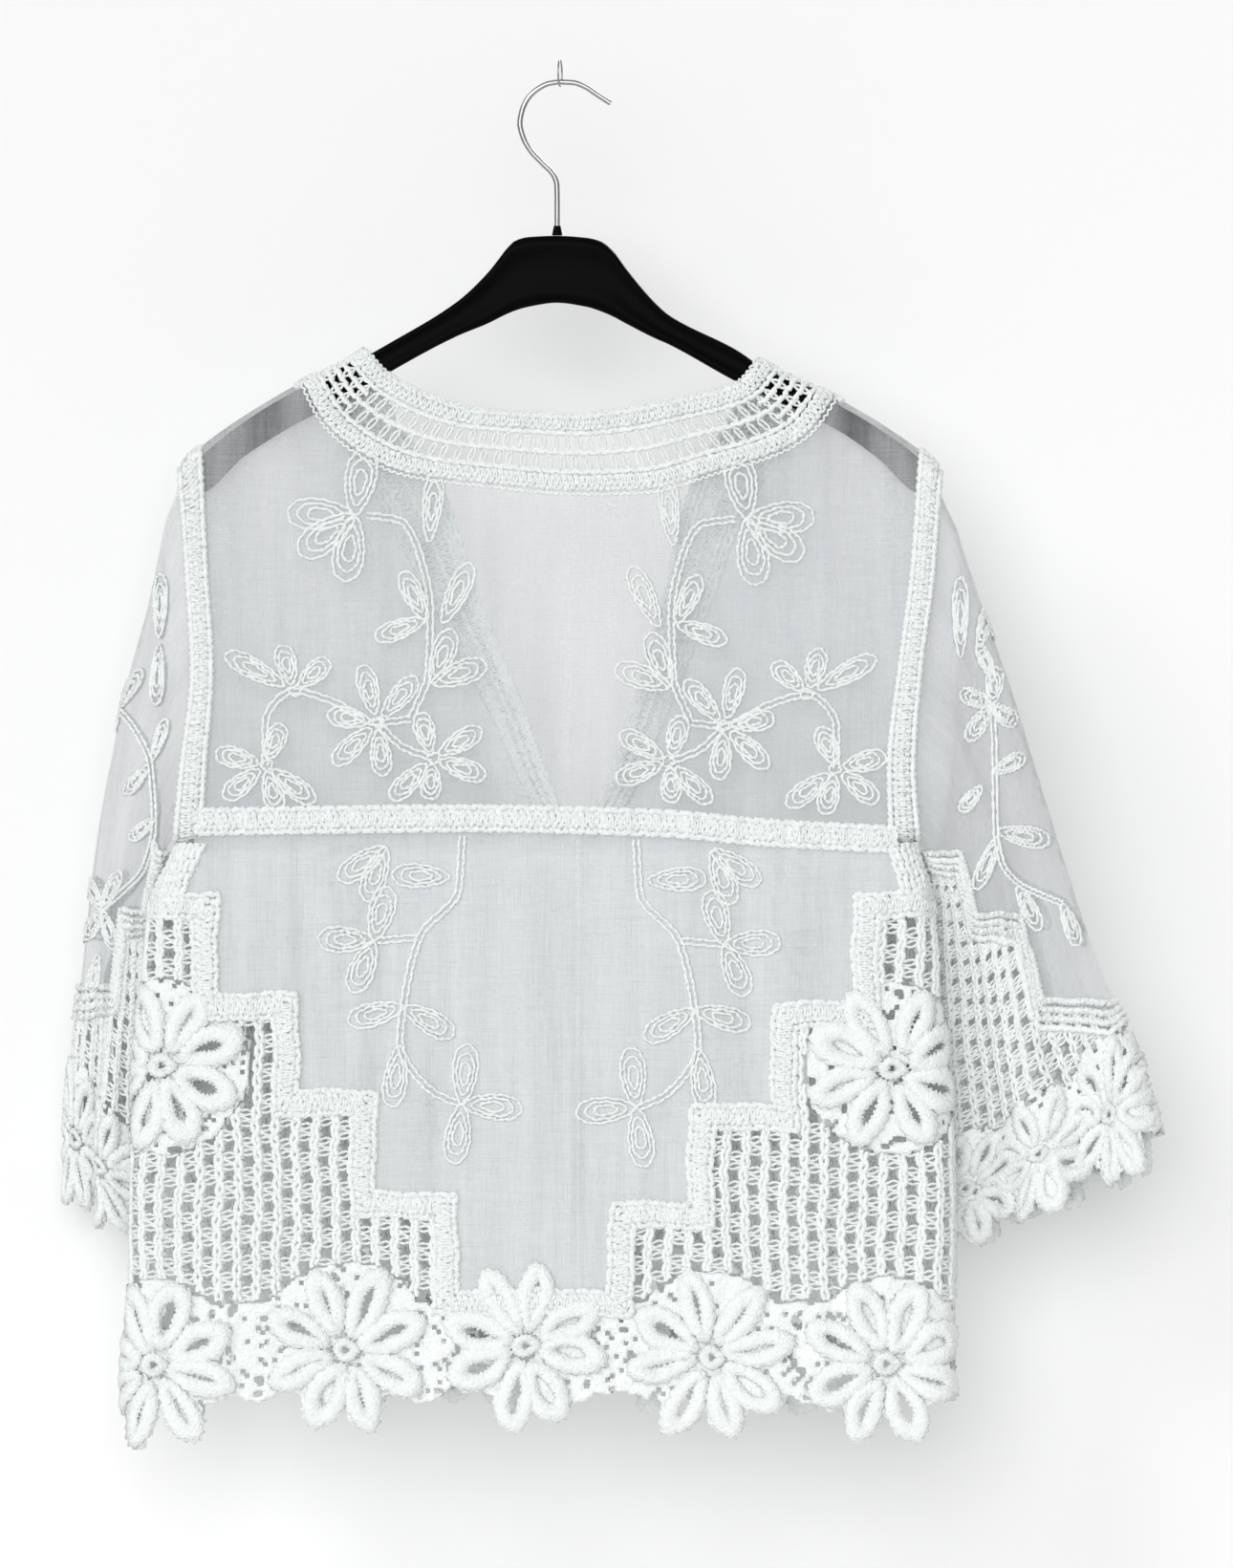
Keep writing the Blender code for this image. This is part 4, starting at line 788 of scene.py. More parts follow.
for name in ("left", "right"):
    bm = flat_grid((0, -SLEEVE_REACH * SLEEVE_LENGTH), (2 * SLEEVE_WIDTH, 0), 2.7, 4.8)
    drop_faces(bm, lambda p: p[:, 1] > lace_top(name, p[:, 0]) - UNDER_CROCHET)
    lay(bm, sleeve_cloths[name])
    bmesh.ops.remove_doubles(bm, verts=bm.verts, dist=0.0004)
    bmesh.ops.recalc_face_normals(bm, faces=bm.faces)
    bmesh.ops.solidify(bm, geom=bm.faces[:], thickness=GAUZE_WALL * MM)
    finish_piece("gauze_sleeve_" + name, bm, gauze)
    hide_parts("sleeve_" + name)

# %% [markdown]
# ## Hem flowers
# A crochet flower has eight petals round a small ring. Each petal is a padded loop worked over
# with close stitches, open along its middle. One loop is spun from a circle; copies of it are
# drawn out to each petal's outline and laid on the cloth.
# %% One padded loop
LOOP_STEPS, LOOP_SIDES = 36, 6
bm = bmesh.new()
circle = bmesh.ops.create_circle(bm, segments=LOOP_SIDES, radius=1.0)["verts"]
bmesh.ops.rotate(bm, verts=circle, cent=(0, 0, 0), matrix=Matrix.Rotation(math.pi / 2, 3, "X"))
bmesh.ops.translate(bm, verts=circle, vec=(5, 0, 0))
bmesh.ops.spin(bm, geom=bm.edges[:], cent=(0, 0, 0), axis=(0, 0, 1), angle=2 * math.pi,
               steps=LOOP_STEPS, use_merge=True)
bmesh.ops.recalc_face_normals(bm, faces=bm.faces)
loop_mesh = bpy.data.meshes.new("padded_loop")
bm.to_mesh(loop_mesh)
bm.free()
loop_points = np.array([vert.co for vert in loop_mesh.vertices])
loop_angle = np.arctan2(loop_points[:, 1], loop_points[:, 0])
loop_out = np.hypot(loop_points[:, 0], loop_points[:, 1]) - 5
loop_up = loop_points[:, 2]
print("padded loop:", len(loop_mesh.polygons), "faces")


def add_loop(bm, centre, way, length, width, thick, height, egg=0.28, lift=0.6, dice=None):
    """One padded loop: length along its way, width across, thick and height of its roll."""
    before, angle = len(bm.verts), loop_angle
    bm.from_mesh(loop_mesh)
    bm.verts.ensure_lookup_table()
    stitch = np.round(angle / (2 * math.pi) * LOOP_STEPS).astype(int) % LOOP_STEPS
    rib = [(0.17 if k % 2 else -0.15) + dice.uniform(-0.09, 0.09) for k in range(LOOP_STEPS)]
    swell = 1 + np.array(rib)[stitch]
    grown = 1 + egg * np.cos(angle)
    along = (length / 2 - thick) * np.cos(angle)
    across = (width / 2 - thick) * np.sin(angle) * grown
    out_a, out_b = np.cos(angle) * (width / length + 0.5), np.sin(angle)
    size = np.hypot(out_a, out_b)
    roll = loop_out * thick * swell * (1 + 0.5 * egg * np.cos(angle) + 0.25 * np.cos(angle) ** 4)
    along = along + roll * out_a / size + 1.6 * np.maximum(np.cos(angle), 0) ** 8
    across = across + roll * out_b / size
    bend = dice.uniform(-0.07, 0.07) / max(length, 1)
    across = across + bend * along ** 2
    way = np.array(way)
    side = np.array((-way[1], way[0]))
    flat = np.array(centre) + along[:, None] * way + across[:, None] * side
    tilt = dice.uniform(-0.5, 0.5)
    rise = loop_up * height * swell + lift + tilt * np.cos(angle)
    for vert, (u, v), z in zip(bm.verts[before:], flat, rise):
        vert.co = (u, v, z)


# %% Flowers of the hem
BACK_FLOWERS = [(-228, -737, 28), (-121, -727, 23), (-20, -725, 31), (85, -732, 12),
                (184, -735, 22), (-224, -568, 20), (187, -569, 25)]
FRONT_FLOWERS = [(-226, -729, 20), (-126, -719, 30), (-42, -718, 18), (66, -720, 26),
                 (158, -725, 14), (-224, -568, 20), (190, -569, 25)]
PETALS, PETAL_START, PETAL_TIP, PETAL_HALF_WIDTH = 8, 7.0, 46.5, 11.5
EYE_WIDTH = 14.0


def petal_ways(flower):
    dice = random.Random(flower[0] * 7.0 + flower[1])
    for k in range(PETALS):
        angle = math.radians(flower[2] + 360 / PETALS * k + dice.uniform(-5, 5))
        yield np.array((math.cos(angle), math.sin(angle)))


def add_flower(bm, flower, allowed, lift, size=1.0):
    """Eight petals round a ring, at size 1 for the hem and smaller for the cuffs."""
    centre = np.array(flower[:2], float)
    dice = random.Random(str(flower))
    for way in petal_ways(flower):
        middle = centre + way * (PETAL_START + PETAL_TIP) / 2 * size
        if allowed(centre + way * PETAL_TIP * 0.8 * size):
            length = (PETAL_TIP - PETAL_START) * dice.uniform(0.90, 1.03) * size
            width = 2 * PETAL_HALF_WIDTH * dice.uniform(0.88, 1.12) * size
            middle = middle + (dice.uniform(-1.2, 1.2), dice.uniform(-1.2, 1.2))
            thick = dice.uniform(4.9, 5.7) * size
            add_loop(bm, middle, way, length, width, thick, 2.0, lift=lift, dice=dice)
    add_loop(bm, centre, (1.0, 0.0), EYE_WIDTH * size, EYE_WIDTH * size, 2.8 * size, 1.9, egg=0.0,
             lift=lift + 0.6, dice=dice)


def in_petals(flowers, points, scale=1.0, size=1.0):
    """Which points lie under a petal."""
    found = np.zeros(len(points), bool)
    for flower in flowers:
        for way in petal_ways(flower):
            away = (points - np.array(flower[:2], float)) / size
            along = (away @ way - (PETAL_START + PETAL_TIP) / 2) / ((PETAL_TIP - PETAL_START) / 2)
            across = (away @ np.array((-way[1], way[0]))) / (PETAL_HALF_WIDTH * (1 + 0.28 * along))
            found |= along ** 2 + across ** 2 < scale ** 2
    return found


def not_past_side(point):
    return float(left_edge(point[1])) - 8 < point[0] < float(right_edge(point[1])) + 8


for name, cloth, flowers, allowed in (
        ("flowers_back", back_lace_cloth, BACK_FLOWERS, lambda p: True),
        ("flowers_front", front_lace_cloth, FRONT_FLOWERS, not_past_side)):
    bm = bmesh.new()
    for flower in flowers:
        add_flower(bm, flower, allowed, 1.2)
    lay(bm, cloth)
    finish_piece(name, bm, crochet)

# %% [markdown]
# ## Ground of the lace
# Between the petals the crochet is a close uneven web with small openings. It starts as the lace's
# whole flat outline; the net's place is left out, each petal's slit is cut, and small openings are
# pricked at random places that stay the same at every run.
# %% Web between the flowers
HEM_WEB_Z, HEM_FOOT_Z = -752.0, -784.0
HEM_GROUND_Z = -700.0          # all crochet below this height is web and flowers
FLOWER_REACH = 49.0
PRICKED_SHARE = 0.13           # of the web's stitches that are left open
WEB_WALL = 1.6
lace_side = {-1: lambda v: float(left_edge(v)) - float(side_turn(v)) / 2,
             1: lambda v: float(right_edge(v)) + float(side_turn(v)) / 2}


def in_flower_ground(flowers, points):
    near = points[:, 1] < HEM_GROUND_Z
    for u, v, _ in flowers:
        near |= np.hypot(points[:, 0] - u, points[:, 1] - v) < FLOWER_REACH
    return near


def slits(flowers, points, size=1.0):
    """The open middle of each petal and the eye of each flower."""
    found = np.zeros(len(points), bool)
    for number, flower in enumerate(flowers):
        away = (points - np.array(flower[:2], float)) / size
        found |= np.hypot(*away.T) < 3.6
        for k, way in enumerate(petal_ways(flower)):
            if (3 * number + 5 * k) % 8 in (1, 4, 6):      # some petals are closed
                continue
            along = (away @ way - 29) / 9
            across = (away @ np.array((-way[1], way[0]))) / 2.6
            found |= along ** 2 + across ** 2 < 1
    return found


def lace_outline(left, right, steps_left, steps_right, centre_left=None, centre_right=None):
    """A lace piece: stepped top, sides or a centre edge, and the line of the hem's web."""
    heights = np.linspace(LACE_TOP_Z, HEM_FOOT_Z, 14)
    outline = []
    if left:
        outline += [(lace_side[-1](v), v) for v in heights[::-1]] + steps_left
    else:
        outline += [(centre_left, HEM_FOOT_Z), (centre_left, STEP_FOOT_Z)]
    if right:
        outline += steps_right[::-1] + [(lace_side[1](v), v) for v in heights]
    else:
        outline += [(centre_right, STEP_FOOT_Z), (centre_right, HEM_FOOT_Z)]
    return outline


top_left, top_right = steps_down(STEPS_LEFT, -1), steps_down(STEPS_RIGHT, 1)
LACES = {
    "back": (back_lace_cloth, BACK_FLOWERS, lace_outline(True, True, top_left, top_right)),
    "front_left": (front_lace_cloth, FRONT_FLOWERS[:3] + FRONT_FLOWERS[5:6],
                   lace_outline(True, False, top_left, [], centre_right=CENTRE_FRONT - CENTRE_GAP)),
    "front_right": (front_lace_cloth, FRONT_FLOWERS[3:5] + FRONT_FLOWERS[6:],
                    lace_outline(False, True, [], top_right, centre_left=CENTRE_FRONT + CENTRE_GAP)),
}
for name, (cloth, flowers, outline) in LACES.items():
    dice = np.random.default_rng(len(name))

    def web(points):
        pricked = (dice.random(len(points)) < PRICKED_SHARE) & ~in_petals(flowers, points, 0.9)
        foot = HEM_WEB_Z - 4 * np.sin(points[:, 0] / 7.0) - 3 * np.sin(points[:, 0] / 17.0)
        hem = (points[:, 1] > foot) | in_petals(flowers, points, 1.02)
        return hem & in_flower_ground(flowers, points) & ~slits(flowers, points) & ~pricked
    bm = cut_piece(outline, 2.6, 2.6, snap=2.6, keep=web)
    bmesh.ops.smooth_vert(bm, verts=[v for v in bm.verts if v.is_boundary], factor=0.5,
                          use_axis_x=True, use_axis_y=True, use_axis_z=True)
    walled(bm, WEB_WALL)
    lay(bm, cloth)
    finish_piece("web_" + name, bm, crochet)

# %% [markdown]
# ## The net
# The open net is worked in columns: upright bars of two twisted strands, and between them ladders
# of wavy threads that leave one square opening in each repeat. Every second column is half a
# repeat lower, so that the openings stand like bricks.
# %% Net of the body
NET_COLUMN, NET_ROW = 11.0, 16.8
BAR_HALF_WIDTH = 2.4
RUNGS = (-4.4, -2.2, 0.0, 2.2, 4.4)


def net_zone(outline, flowers, points):
    """Inside the lace and outside the flowers' ground."""
    return inside(outline, points) & ~in_flower_ground(flowers, points)


def runs_of(points, kept):
    """The unbroken stretches of a line that are kept."""
    stretches, current = [], []
    for point, ok in zip(points, kept):
        if ok:
            current.append(point)
        elif len(current) > 1:
            stretches.append(current)
            current = []
        else:
            current = []
    return stretches + ([current] if len(current) > 1 else [])


for name, (cloth, flowers, outline) in LACES.items():
    corners = np.array(outline)
    low, high = corners.min(0), corners.max(0)
    bars, rungs = [], []
    shift = 0.0 if name == "back" else 0.5      # the fronts' bars stand behind the back's openings
    for column in range(math.ceil(low[0] / NET_COLUMN), math.floor(high[0] / NET_COLUMN) + 1):
        for edge in (-BAR_HALF_WIDTH * 0.5, BAR_HALF_WIDTH * 0.5):
            x = (column + 0.5 + shift) * NET_COLUMN + edge
            line = np.column_stack([np.full(220, x), np.linspace(high[1], low[1], 220)])
            bars += runs_of(line, net_zone(outline, flowers, line))
        x = (column + shift) * NET_COLUMN
        z = math.floor(high[1] / NET_ROW) * NET_ROW - (column % 2) * NET_ROW / 2
        while z > low[1]:
            for rung in RUNGS if name == "back" else RUNGS[::2]:
                height = z - NET_ROW / 2 + rung
                ends = np.array([(x - NET_COLUMN / 2 + 1, height), (x + NET_COLUMN / 2 - 1, height)])
                if net_zone(outline, flowers, ends).all():
                    steps = np.linspace(0, 1, 7)
                    wave = 0.7 * np.sin(steps * 2 * math.pi + rung)
                    rungs.append(np.column_stack([ends[0, 0] + (ends[1, 0] - ends[0, 0]) * steps,
                                                  height + wave]))
            z -= NET_ROW
    shown = int(name == "back")
    yarn("net_bars_" + name, bars, cloth, 1.5, stitch=4.2, bead=0.25, sway=0.7, step=2.0, sides=shown)
    yarn("net_rungs_" + name, rungs, cloth, 0.8, stitch=3.4, bead=0.15, step=1.9, sides=0)

# %% [markdown]
# ## Stepped border and tapes
# Firm crochet borders cover every cut edge of the gauze. Each is a few strands of close stitches
# side by side, with one thread stitched to and fro along the middle. On the stepped border the
# strands turn square corners.
# %% Stepped border
BORDER_STRANDS = (0.6, 3.7, 6.8, 9.9, 13.0)
BORDER_REACH = 5.6       # how far the crossing thread swings to each side
for name, cloth, centre in (("back", back_lace_cloth, None),
                            ("front", front_lace_cloth, CENTRE_FRONT)):
    strands = []
    for drop in BORDER_STRANDS:
        top = LACE_TOP_Z - drop
        left = [(lace_side[-1](top), top)] + steps_down(STEPS_LEFT, -1, drop)
        right = [(lace_side[1](top), top)] + steps_down(STEPS_RIGHT, 1, drop)
        if centre is None:
            strands.append(left + right[::-1])
        else:
            foot = STEP_FOOT_Z - drop
            strands += [left + [(centre - 1.5, foot)], right + [(centre + 1.5, foot)]]
    yarn("border_" + name, strands, cloth, 2.0, stitch=4.2, bead=0.34, sway=0.5, lift=0.5,
         sides=int(name == "back"))
    runs = len(strands) // len(BORDER_STRANDS)
    middles = strands[len(BORDER_STRANDS) // 2 * runs:][:runs]
    yarn("border_stitches_" + name, [zigzag(line, BORDER_REACH) for line in middles], cloth, 0.95,
         stitch=4.4, bead=0.25, lift=1.9, step=2.2, sides=0)

# %% Yoke tape
tape = smooth_path(YOKE_TAPE, 4)
yarn("yoke_tape_stitches", [beside(tape, d) for d in (-6.2, -3.1, 0, 3.1, 6.2)], back_cloth, 2.0,
     stitch=4.2, bead=0.34, sway=0.5, lift=0.4)
yarn("yoke_tape_crossings", [zigzag(tape, BORDER_REACH)], back_cloth, 0.95, stitch=4.4,
     bead=0.25, lift=1.8, step=2.2, sides=0)
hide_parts("yoke_tape")

# %% [markdown]
# ## Armhole tapes
# A tape runs once round each armhole: over the hanger's arm, down the back, under the arm and up
# the front. Its own cloth function measures the way round it, so its strands are drawn as
# straight lines and closed by their last stitch.
# %% Armhole tapes
SLOPE_FADES = 46.0          # the height over which the shoulder's slope dies out on the tape


def tape_cloth(sign):
    """u is 0 to 1 across the tape and v the way round it from the shoulder, back first."""
    half = half_depth(UNDERARM_Z)
    top = float(seam_v(armhole_x[sign, "in"](-226) + sign * 5))
    roll_foot = top - SHOULDER_ROLL * math.pi / 2
    down, depth, height, facing = [], [], [], []
    for a in np.linspace(math.pi / 2, 0, 8):
        down.append(SHOULDER_ROLL * (math.pi / 2 - a))
        depth.append(float(half_depth(roll_foot)) * math.cos(a))
        height.append(roll_foot + SHOULDER_ROLL * math.sin(a))
        facing.append(a)
    for z in np.linspace(roll_foot, UNDERARM_Z + half, 20)[1:]:
        down.append(down[-1] + height[-1] - z)
        depth.append(float(half_depth(z)))
        height.append(z)
        facing.append(0.0)
    for a in np.linspace(0, math.pi / 2, 9)[1:]:
        down.append(down[-1] + half * math.pi / 16)
        depth.append(half * math.cos(a))
        height.append(UNDERARM_Z + half - half * math.sin(a))
        facing.append(-a)
    total = 2 * down[-1]

    def place(u, v, lift):
        v = np.mod(v, total)
        side = np.where(v <= total / 2, BACK, FRONT)
        gone = np.where(v <= total / 2, v, total - v)
        y, z, a = (np.interp(gone, down, column) for column in (depth, height, facing))
        inner, outer = armhole_x[sign, "in"](z), armhole_x[sign, "out"](z)
        x = inner + (outer - inner) * u
        slope = shoulder_z(x) - SHOULDER_ROLL - roll_foot
        z = z + slope * np.clip((z - roll_foot + SLOPE_FADES) / SLOPE_FADES, 0, 1)
        return np.stack([x, side * (y + lift * np.cos(a)), z + lift * np.sin(a)], 1)
    return place, total


for name, sign in (("left", -1), ("right", 1)):
    place, total = tape_cloth(sign)
    way_round = np.linspace(0, total, 400)
    strands = [np.column_stack([np.full(400, share), way_round]) for share in (0, 0.25, 0.5, 0.75, 1)]
    yarn("armhole_stitches_" + name, strands, place, 1.9, stitch=4.2, bead=0.34, lift=0.4)
    at = np.linspace(0, total, round(total / 0.8))
    swing = 0.5 + 0.46 * np.sin(2 * math.pi * at / 3.3)
    yarn("armhole_crossings_" + name, [np.column_stack([swing, at, np.zeros(len(at))])], place, 0.95,
         stitch=2.6, bead=0.25, lift=1.8, step=0.8, sides=0)
    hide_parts("armhole_tape_" + name)

# %% [markdown]
# ## Neckband
# The band round the neck has two rows of open cells between two firm edges, and small loops
# along both outlines. Bowed bars part the cells, and towards the shoulders one more strand divides
# each row. Its places are read between two curves, the neck's edge and the band's foot.
# %% Neckband of the back
neck_top, neck_foot = smooth_path(NECK_EDGE, 1.0), smooth_path(NECKBAND_FOOT, 1.0)


def band_line(top, foot, across, count=240):
    """A line along a band, between its two outlines."""
    shares = np.linspace(0, 1, count)

    def read(path):
        at = np.linspace(0, 1, len(path))
        return np.stack([np.interp(shares, at, path[:, k]) for k in (0, 1)], 1)
    return read(top) * (1 - across) + read(foot) * across


NECK_CELLS = 43
NECK_STRANDS = (0.02, 0.09, 0.16, 0.23, 0.485, 0.74, 0.81, 0.88, 0.95)     # shares of the width
END_POINTS = 26           # of 240: at both ends each row of cells is divided once more
strands = [band_line(neck_top, neck_foot, a) for a in NECK_STRANDS]
for a in (0.355, 0.615):
    whole = band_line(neck_top, neck_foot, a)
    strands += [whole[:END_POINTS], whole[-END_POINTS:]]
yarn("neckband_strands", strands, back_cloth, 1.6, stitch=3.0, bead=0.3, sway=0.4, lift=0.4)
bars = []
for upper, lower, shift in ((0.25, 0.47, 0.0), (0.50, 0.73, 0.5)):
    high_line = band_line(neck_top, neck_foot, upper)
    low_line = band_line(neck_top, neck_foot, lower)
    for k in range(NECK_CELLS + 1):
        at = round(min((k + shift) / NECK_CELLS, 1.0) * (len(high_line) - 1))
        for lean in (-1, 1):
            i = min(max(at + lean, 0), len(high_line) - 1)
            bends = [high_line[i] * (1 - share) + low_line[i] * share for share in (0.3, 0.7)]
            bars.append([high_line[at], *bends, low_line[at]])
yarn("neckband_bars", bars, back_cloth, 0.8, stitch=3.0, bead=0.2, lift=0.3, step=1.5, sides=0)
loops = []
for path, out, count in ((neck_top, 1.8, 75), (neck_foot, -1.8, 95)):
    edge = band_line(path, path, 0, count * 8)
    wave = np.abs(np.sin(np.linspace(0, math.pi * count, len(edge))))
    loops.append(edge + (beside(edge, out) - edge) * wave[:, None])
yarn("neckband_loops", loops, back_cloth, 0.8, stitch=2.4, bead=0.1, lift=0.4, step=1.1, sides=0)
stitches = [zigzag(band_line(neck_top, neck_foot, a), reach) for a, reach in ((0.10, 4.2), (0.87, 4.6))]
yarn("neckband_stitches", stitches, back_cloth, 0.9, stitch=4.2, bead=0.25, lift=1.7, step=2.1,
     sides=0)
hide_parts("neckband_back")

# %% Bands of the V
for name in ("left", "right"):
    edge, foot = smooth_path(V_EDGES[name], 4), smooth_path(V_BANDS[name], 4)
    strands = [band_line(edge, foot, a, 120) for a in (0.0, 0.1, 0.2, 0.5, 0.8, 0.9, 1.0)]
    yarn("v_band_" + name, strands, front_cloth, 1.9, stitch=4.2, bead=0.34, sway=0.5, lift=0.3)
    fillings = []
    for low, high in ((0.2, 0.5), (0.5, 0.8)):
        line = band_line(edge, foot, (low + high) / 2, 700)
        width = np.hypot(*(band_line(edge, foot, high, 700) - band_line(edge, foot, low, 700)).T)
        gone = np.concatenate([[0], np.cumsum(np.hypot(*np.diff(line, axis=0).T))])
        swing = (beside(line, 1.0) - line) * (np.sin(2 * math.pi * gone / 3.6) * width / 2)[:, None]
        fillings.append(line + swing)
    yarn("v_filling_" + name, fillings, front_cloth, 1.1, stitch=4.2, bead=0.25, lift=0.2, step=2.1,
         sides=0)
    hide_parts("neckband_front_" + name)

# %% [markdown]
# ## Cuffs
# The cuffs repeat the hem: a stepped border, the net and a row of flowers along the edge, worked
# all round the sleeve. The flowers are about three quarters of the hem's, three to a layer, and
# the border follows the level steps of the sleeve's gauze. The net's rungs are fewer on the
# layer that is turned away, where they are seen through the other one.
# %% Cuff lace
CUFF_FLOWER_SIZE = 0.72      # beside the hem's flowers
CUFF_SCALLOPS = 3
CUFF_FLOWER_Z = 34.0         # height of the flowers' eyes above the cuff's edge
CUFF_EDGE_Z = 15.0           # height of the web's lower edge, which only petals pass
CUFF_WEB_HEIGHT = 72.0
LEAST_CUFF_STEP = 8.0        # a change of level that the border turns with a square corner
cuff_flowers = [((k + 0.5) / CUFF_SCALLOPS * SLEEVE_WIDTH, -SLEEVE_LENGTH + CUFF_FLOWER_Z, 22.5 + 8 * k)
                for k in range(2 * CUFF_SCALLOPS)]
for name in ("left", "right"):
    cloth = handmade(sleeve_cloths[name], 0.7)
    bm = bmesh.new()
    for flower in cuff_flowers:
        add_flower(bm, flower, lambda p: p[1] > -SLEEVE_LENGTH - 2, 1.2, CUFF_FLOWER_SIZE)
    lay(bm, cloth)
    finish_piece("cuff_flowers_" + name, bm, crochet)

    def cuff_ground(points):
        near = points[:, 1] < -SLEEVE_LENGTH + CUFF_FLOWER_Z
        for u, v, _ in cuff_flowers:
            near |= np.hypot(points[:, 0] - u, points[:, 1] - v) < FLOWER_REACH * CUFF_FLOWER_SIZE
        return near

    dice = np.random.default_rng(7)

    def cuff_web(points):
        pricked = dice.random(len(points)) < PRICKED_SHARE
        pricked &= ~in_petals(cuff_flowers, points, 0.9, CUFF_FLOWER_SIZE)
        edge = -SLEEVE_LENGTH + CUFF_EDGE_Z + 3 * np.sin(points[:, 0] / 7.0)
        edging = (points[:, 1] > edge) | in_petals(cuff_flowers, points, 1.02, CUFF_FLOWER_SIZE)
        open_work = slits(cuff_flowers, points, CUFF_FLOWER_SIZE) | pricked
        return edging & cuff_ground(points) & ~open_work
    web_top = -SLEEVE_LENGTH + CUFF_WEB_HEIGHT
    bm = flat_grid((0, -SLEEVE_LENGTH), (2 * SLEEVE_WIDTH, web_top), 2.7, 2.7)
    drop_faces(bm, cuff_web)
    lay(bm, cloth)
    bmesh.ops.remove_doubles(bm, verts=bm.verts, dist=0.0003)
    bmesh.ops.recalc_face_normals(bm, faces=bm.faces)
    bmesh.ops.solidify(bm, geom=bm.faces[:], thickness=WEB_WALL * MM)
    finish_piece("cuff_web_" + name, bm, crochet)

    bars, rungs = [], []
    columns = round(2 * SLEEVE_WIDTH / NET_COLUMN)
    pitch = 2 * SLEEVE_WIDTH / columns

    def cuff_net(points):
        return (points[:, 1] < lace_top(name, points[:, 0]) - 4) & ~cuff_ground(points)

    for column in range(columns):
        for edge in (-BAR_HALF_WIDTH * 0.5, BAR_HALF_WIDTH * 0.5):
            x = (column + 0.5) * pitch + edge
            line = np.column_stack([np.full(160, x), np.linspace(-40, -SLEEVE_LENGTH, 160)])
            bars += runs_of(line, cuff_net(line))
        x, z = column * pitch, -(column % 2) * NET_ROW / 2
        while z > -SLEEVE_LENGTH:
            for rung in RUNGS if x < SLEEVE_WIDTH else RUNGS[::2]:
                height = z - NET_ROW / 2 + rung
                ends = np.array([(x - pitch / 2 + 1, height), (x + pitch / 2 - 1, height)])
                if cuff_net(ends).all():
                    steps = np.linspace(0, 1, 6)
                    wave = 0.7 * np.sin(steps * 2 * math.pi + rung)
                    rungs.append(np.column_stack([ends[0, 0] + (ends[1, 0] - ends[0, 0]) * steps,
                                                  height + wave]))
            z -= NET_ROW
    yarn("cuff_bars_" + name, bars, cloth, 1.4, stitch=4.2, bead=0.25, sway=0.7, step=2.3, sides=0)
    yarn("cuff_rungs_" + name, rungs, cloth, 0.8, stitch=3.4, bead=0.15, step=2.4, sides=0)

    strands = []
    for drop in BORDER_STRANDS[:4]:
        line, previous = [], None
        for u in np.linspace(0, 2 * SLEEVE_WIDTH, 241):
            inward = 1 if u / SLEEVE_WIDTH < 1 else -1
            read_at = min(max(u - inward * drop, 0), 2 * SLEEVE_WIDTH - 0.01)
            level = float(lace_top(name, read_at)) - drop
            if previous is not None and abs(level - previous) > LEAST_CUFF_STEP:
                line.append((u, previous))
            line.append((u, level))
            previous = level
        strands.append(line)
    yarn("cuff_border_" + name, strands, cloth, 2.0, stitch=3.4, bead=0.3, sway=0.35, lift=0.6)
    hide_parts("cuff_" + name + "_back", "cuff_" + name + "_front")

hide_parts("back_lace", "side_left", "side_right")
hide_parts("front_lace_left")
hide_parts("front_lace_right")

# %% [markdown]
# ## Side strips below the armholes
# Between the armhole and the border each side is closed by a narrow strip of close crochet. Its
# strands stand upright side by side, all the way round the side from back to front.
# %% Strips under the arms
strands = []
for edge, sign in ((left_edge, -1), (right_edge, 1)):
    heights = np.linspace(-442, LACE_TOP_Z - 4, 20)
    for share in np.linspace(0.0, 1.0, 14):
        strands.append(np.column_stack([edge(heights) + sign * share * side_turn(heights), heights]))
yarn("side_strips", strands, back_cloth, 2.0, stitch=4.2, bead=0.34, sway=0.5, lift=0.3)

# %% [markdown]
# ## Embroidery
# Vines, leaves and flowers are worked on the gauze in chain stitch with a soft cotton. A leaf is
# three nested loops and a stem two lines side by side. The two halves of the back mirror each
# other, with small differences as handwork has.
# %% Motifs
LEAF_LONGER, LEAF_WIDER = 1.25, 1.3       # worked leaves are larger than their drawn size


def leaf(u, v, angle, length, width, rings=3):
    """Nested loops of chain stitch, from their point at u, v."""
    way = np.array((math.cos(math.radians(angle)), math.sin(math.radians(angle))))
    side = np.array((-way[1], way[0]))
    loops = []
    for k in range(rings):
        scale = 1 - 0.3 * k
        turn = np.linspace(0, 2 * math.pi, 26)
        along = length * (0.5 - 0.5 * np.cos(turn) * scale)
        across = width / 2 * np.sin(turn) * scale * (0.8 - 0.25 * np.cos(turn))
        loops.append(np.array((u, v)) + along[:, None] * way + across[:, None] * side)
    return loops


def stem(points, apart=1.5):
    line = smooth_path(points, 2.0)
    return [beside(line, -apart), beside(line, apart)]


def bloom(u, v, angles, length=30, width=16):
    """Leaves that open round one place."""
    length, width = length * LEAF_LONGER, width * LEAF_WIDER
    return [loop for angle in angles for loop in leaf(u, v, angle, length, width)]


def mirrored(paths, about):
    """The other half of a motif, shifted a little as handwork is."""
    return [np.column_stack([2 * about - p[:, 0], p[:, 1] - 2]) for p in map(np.asarray, paths)]


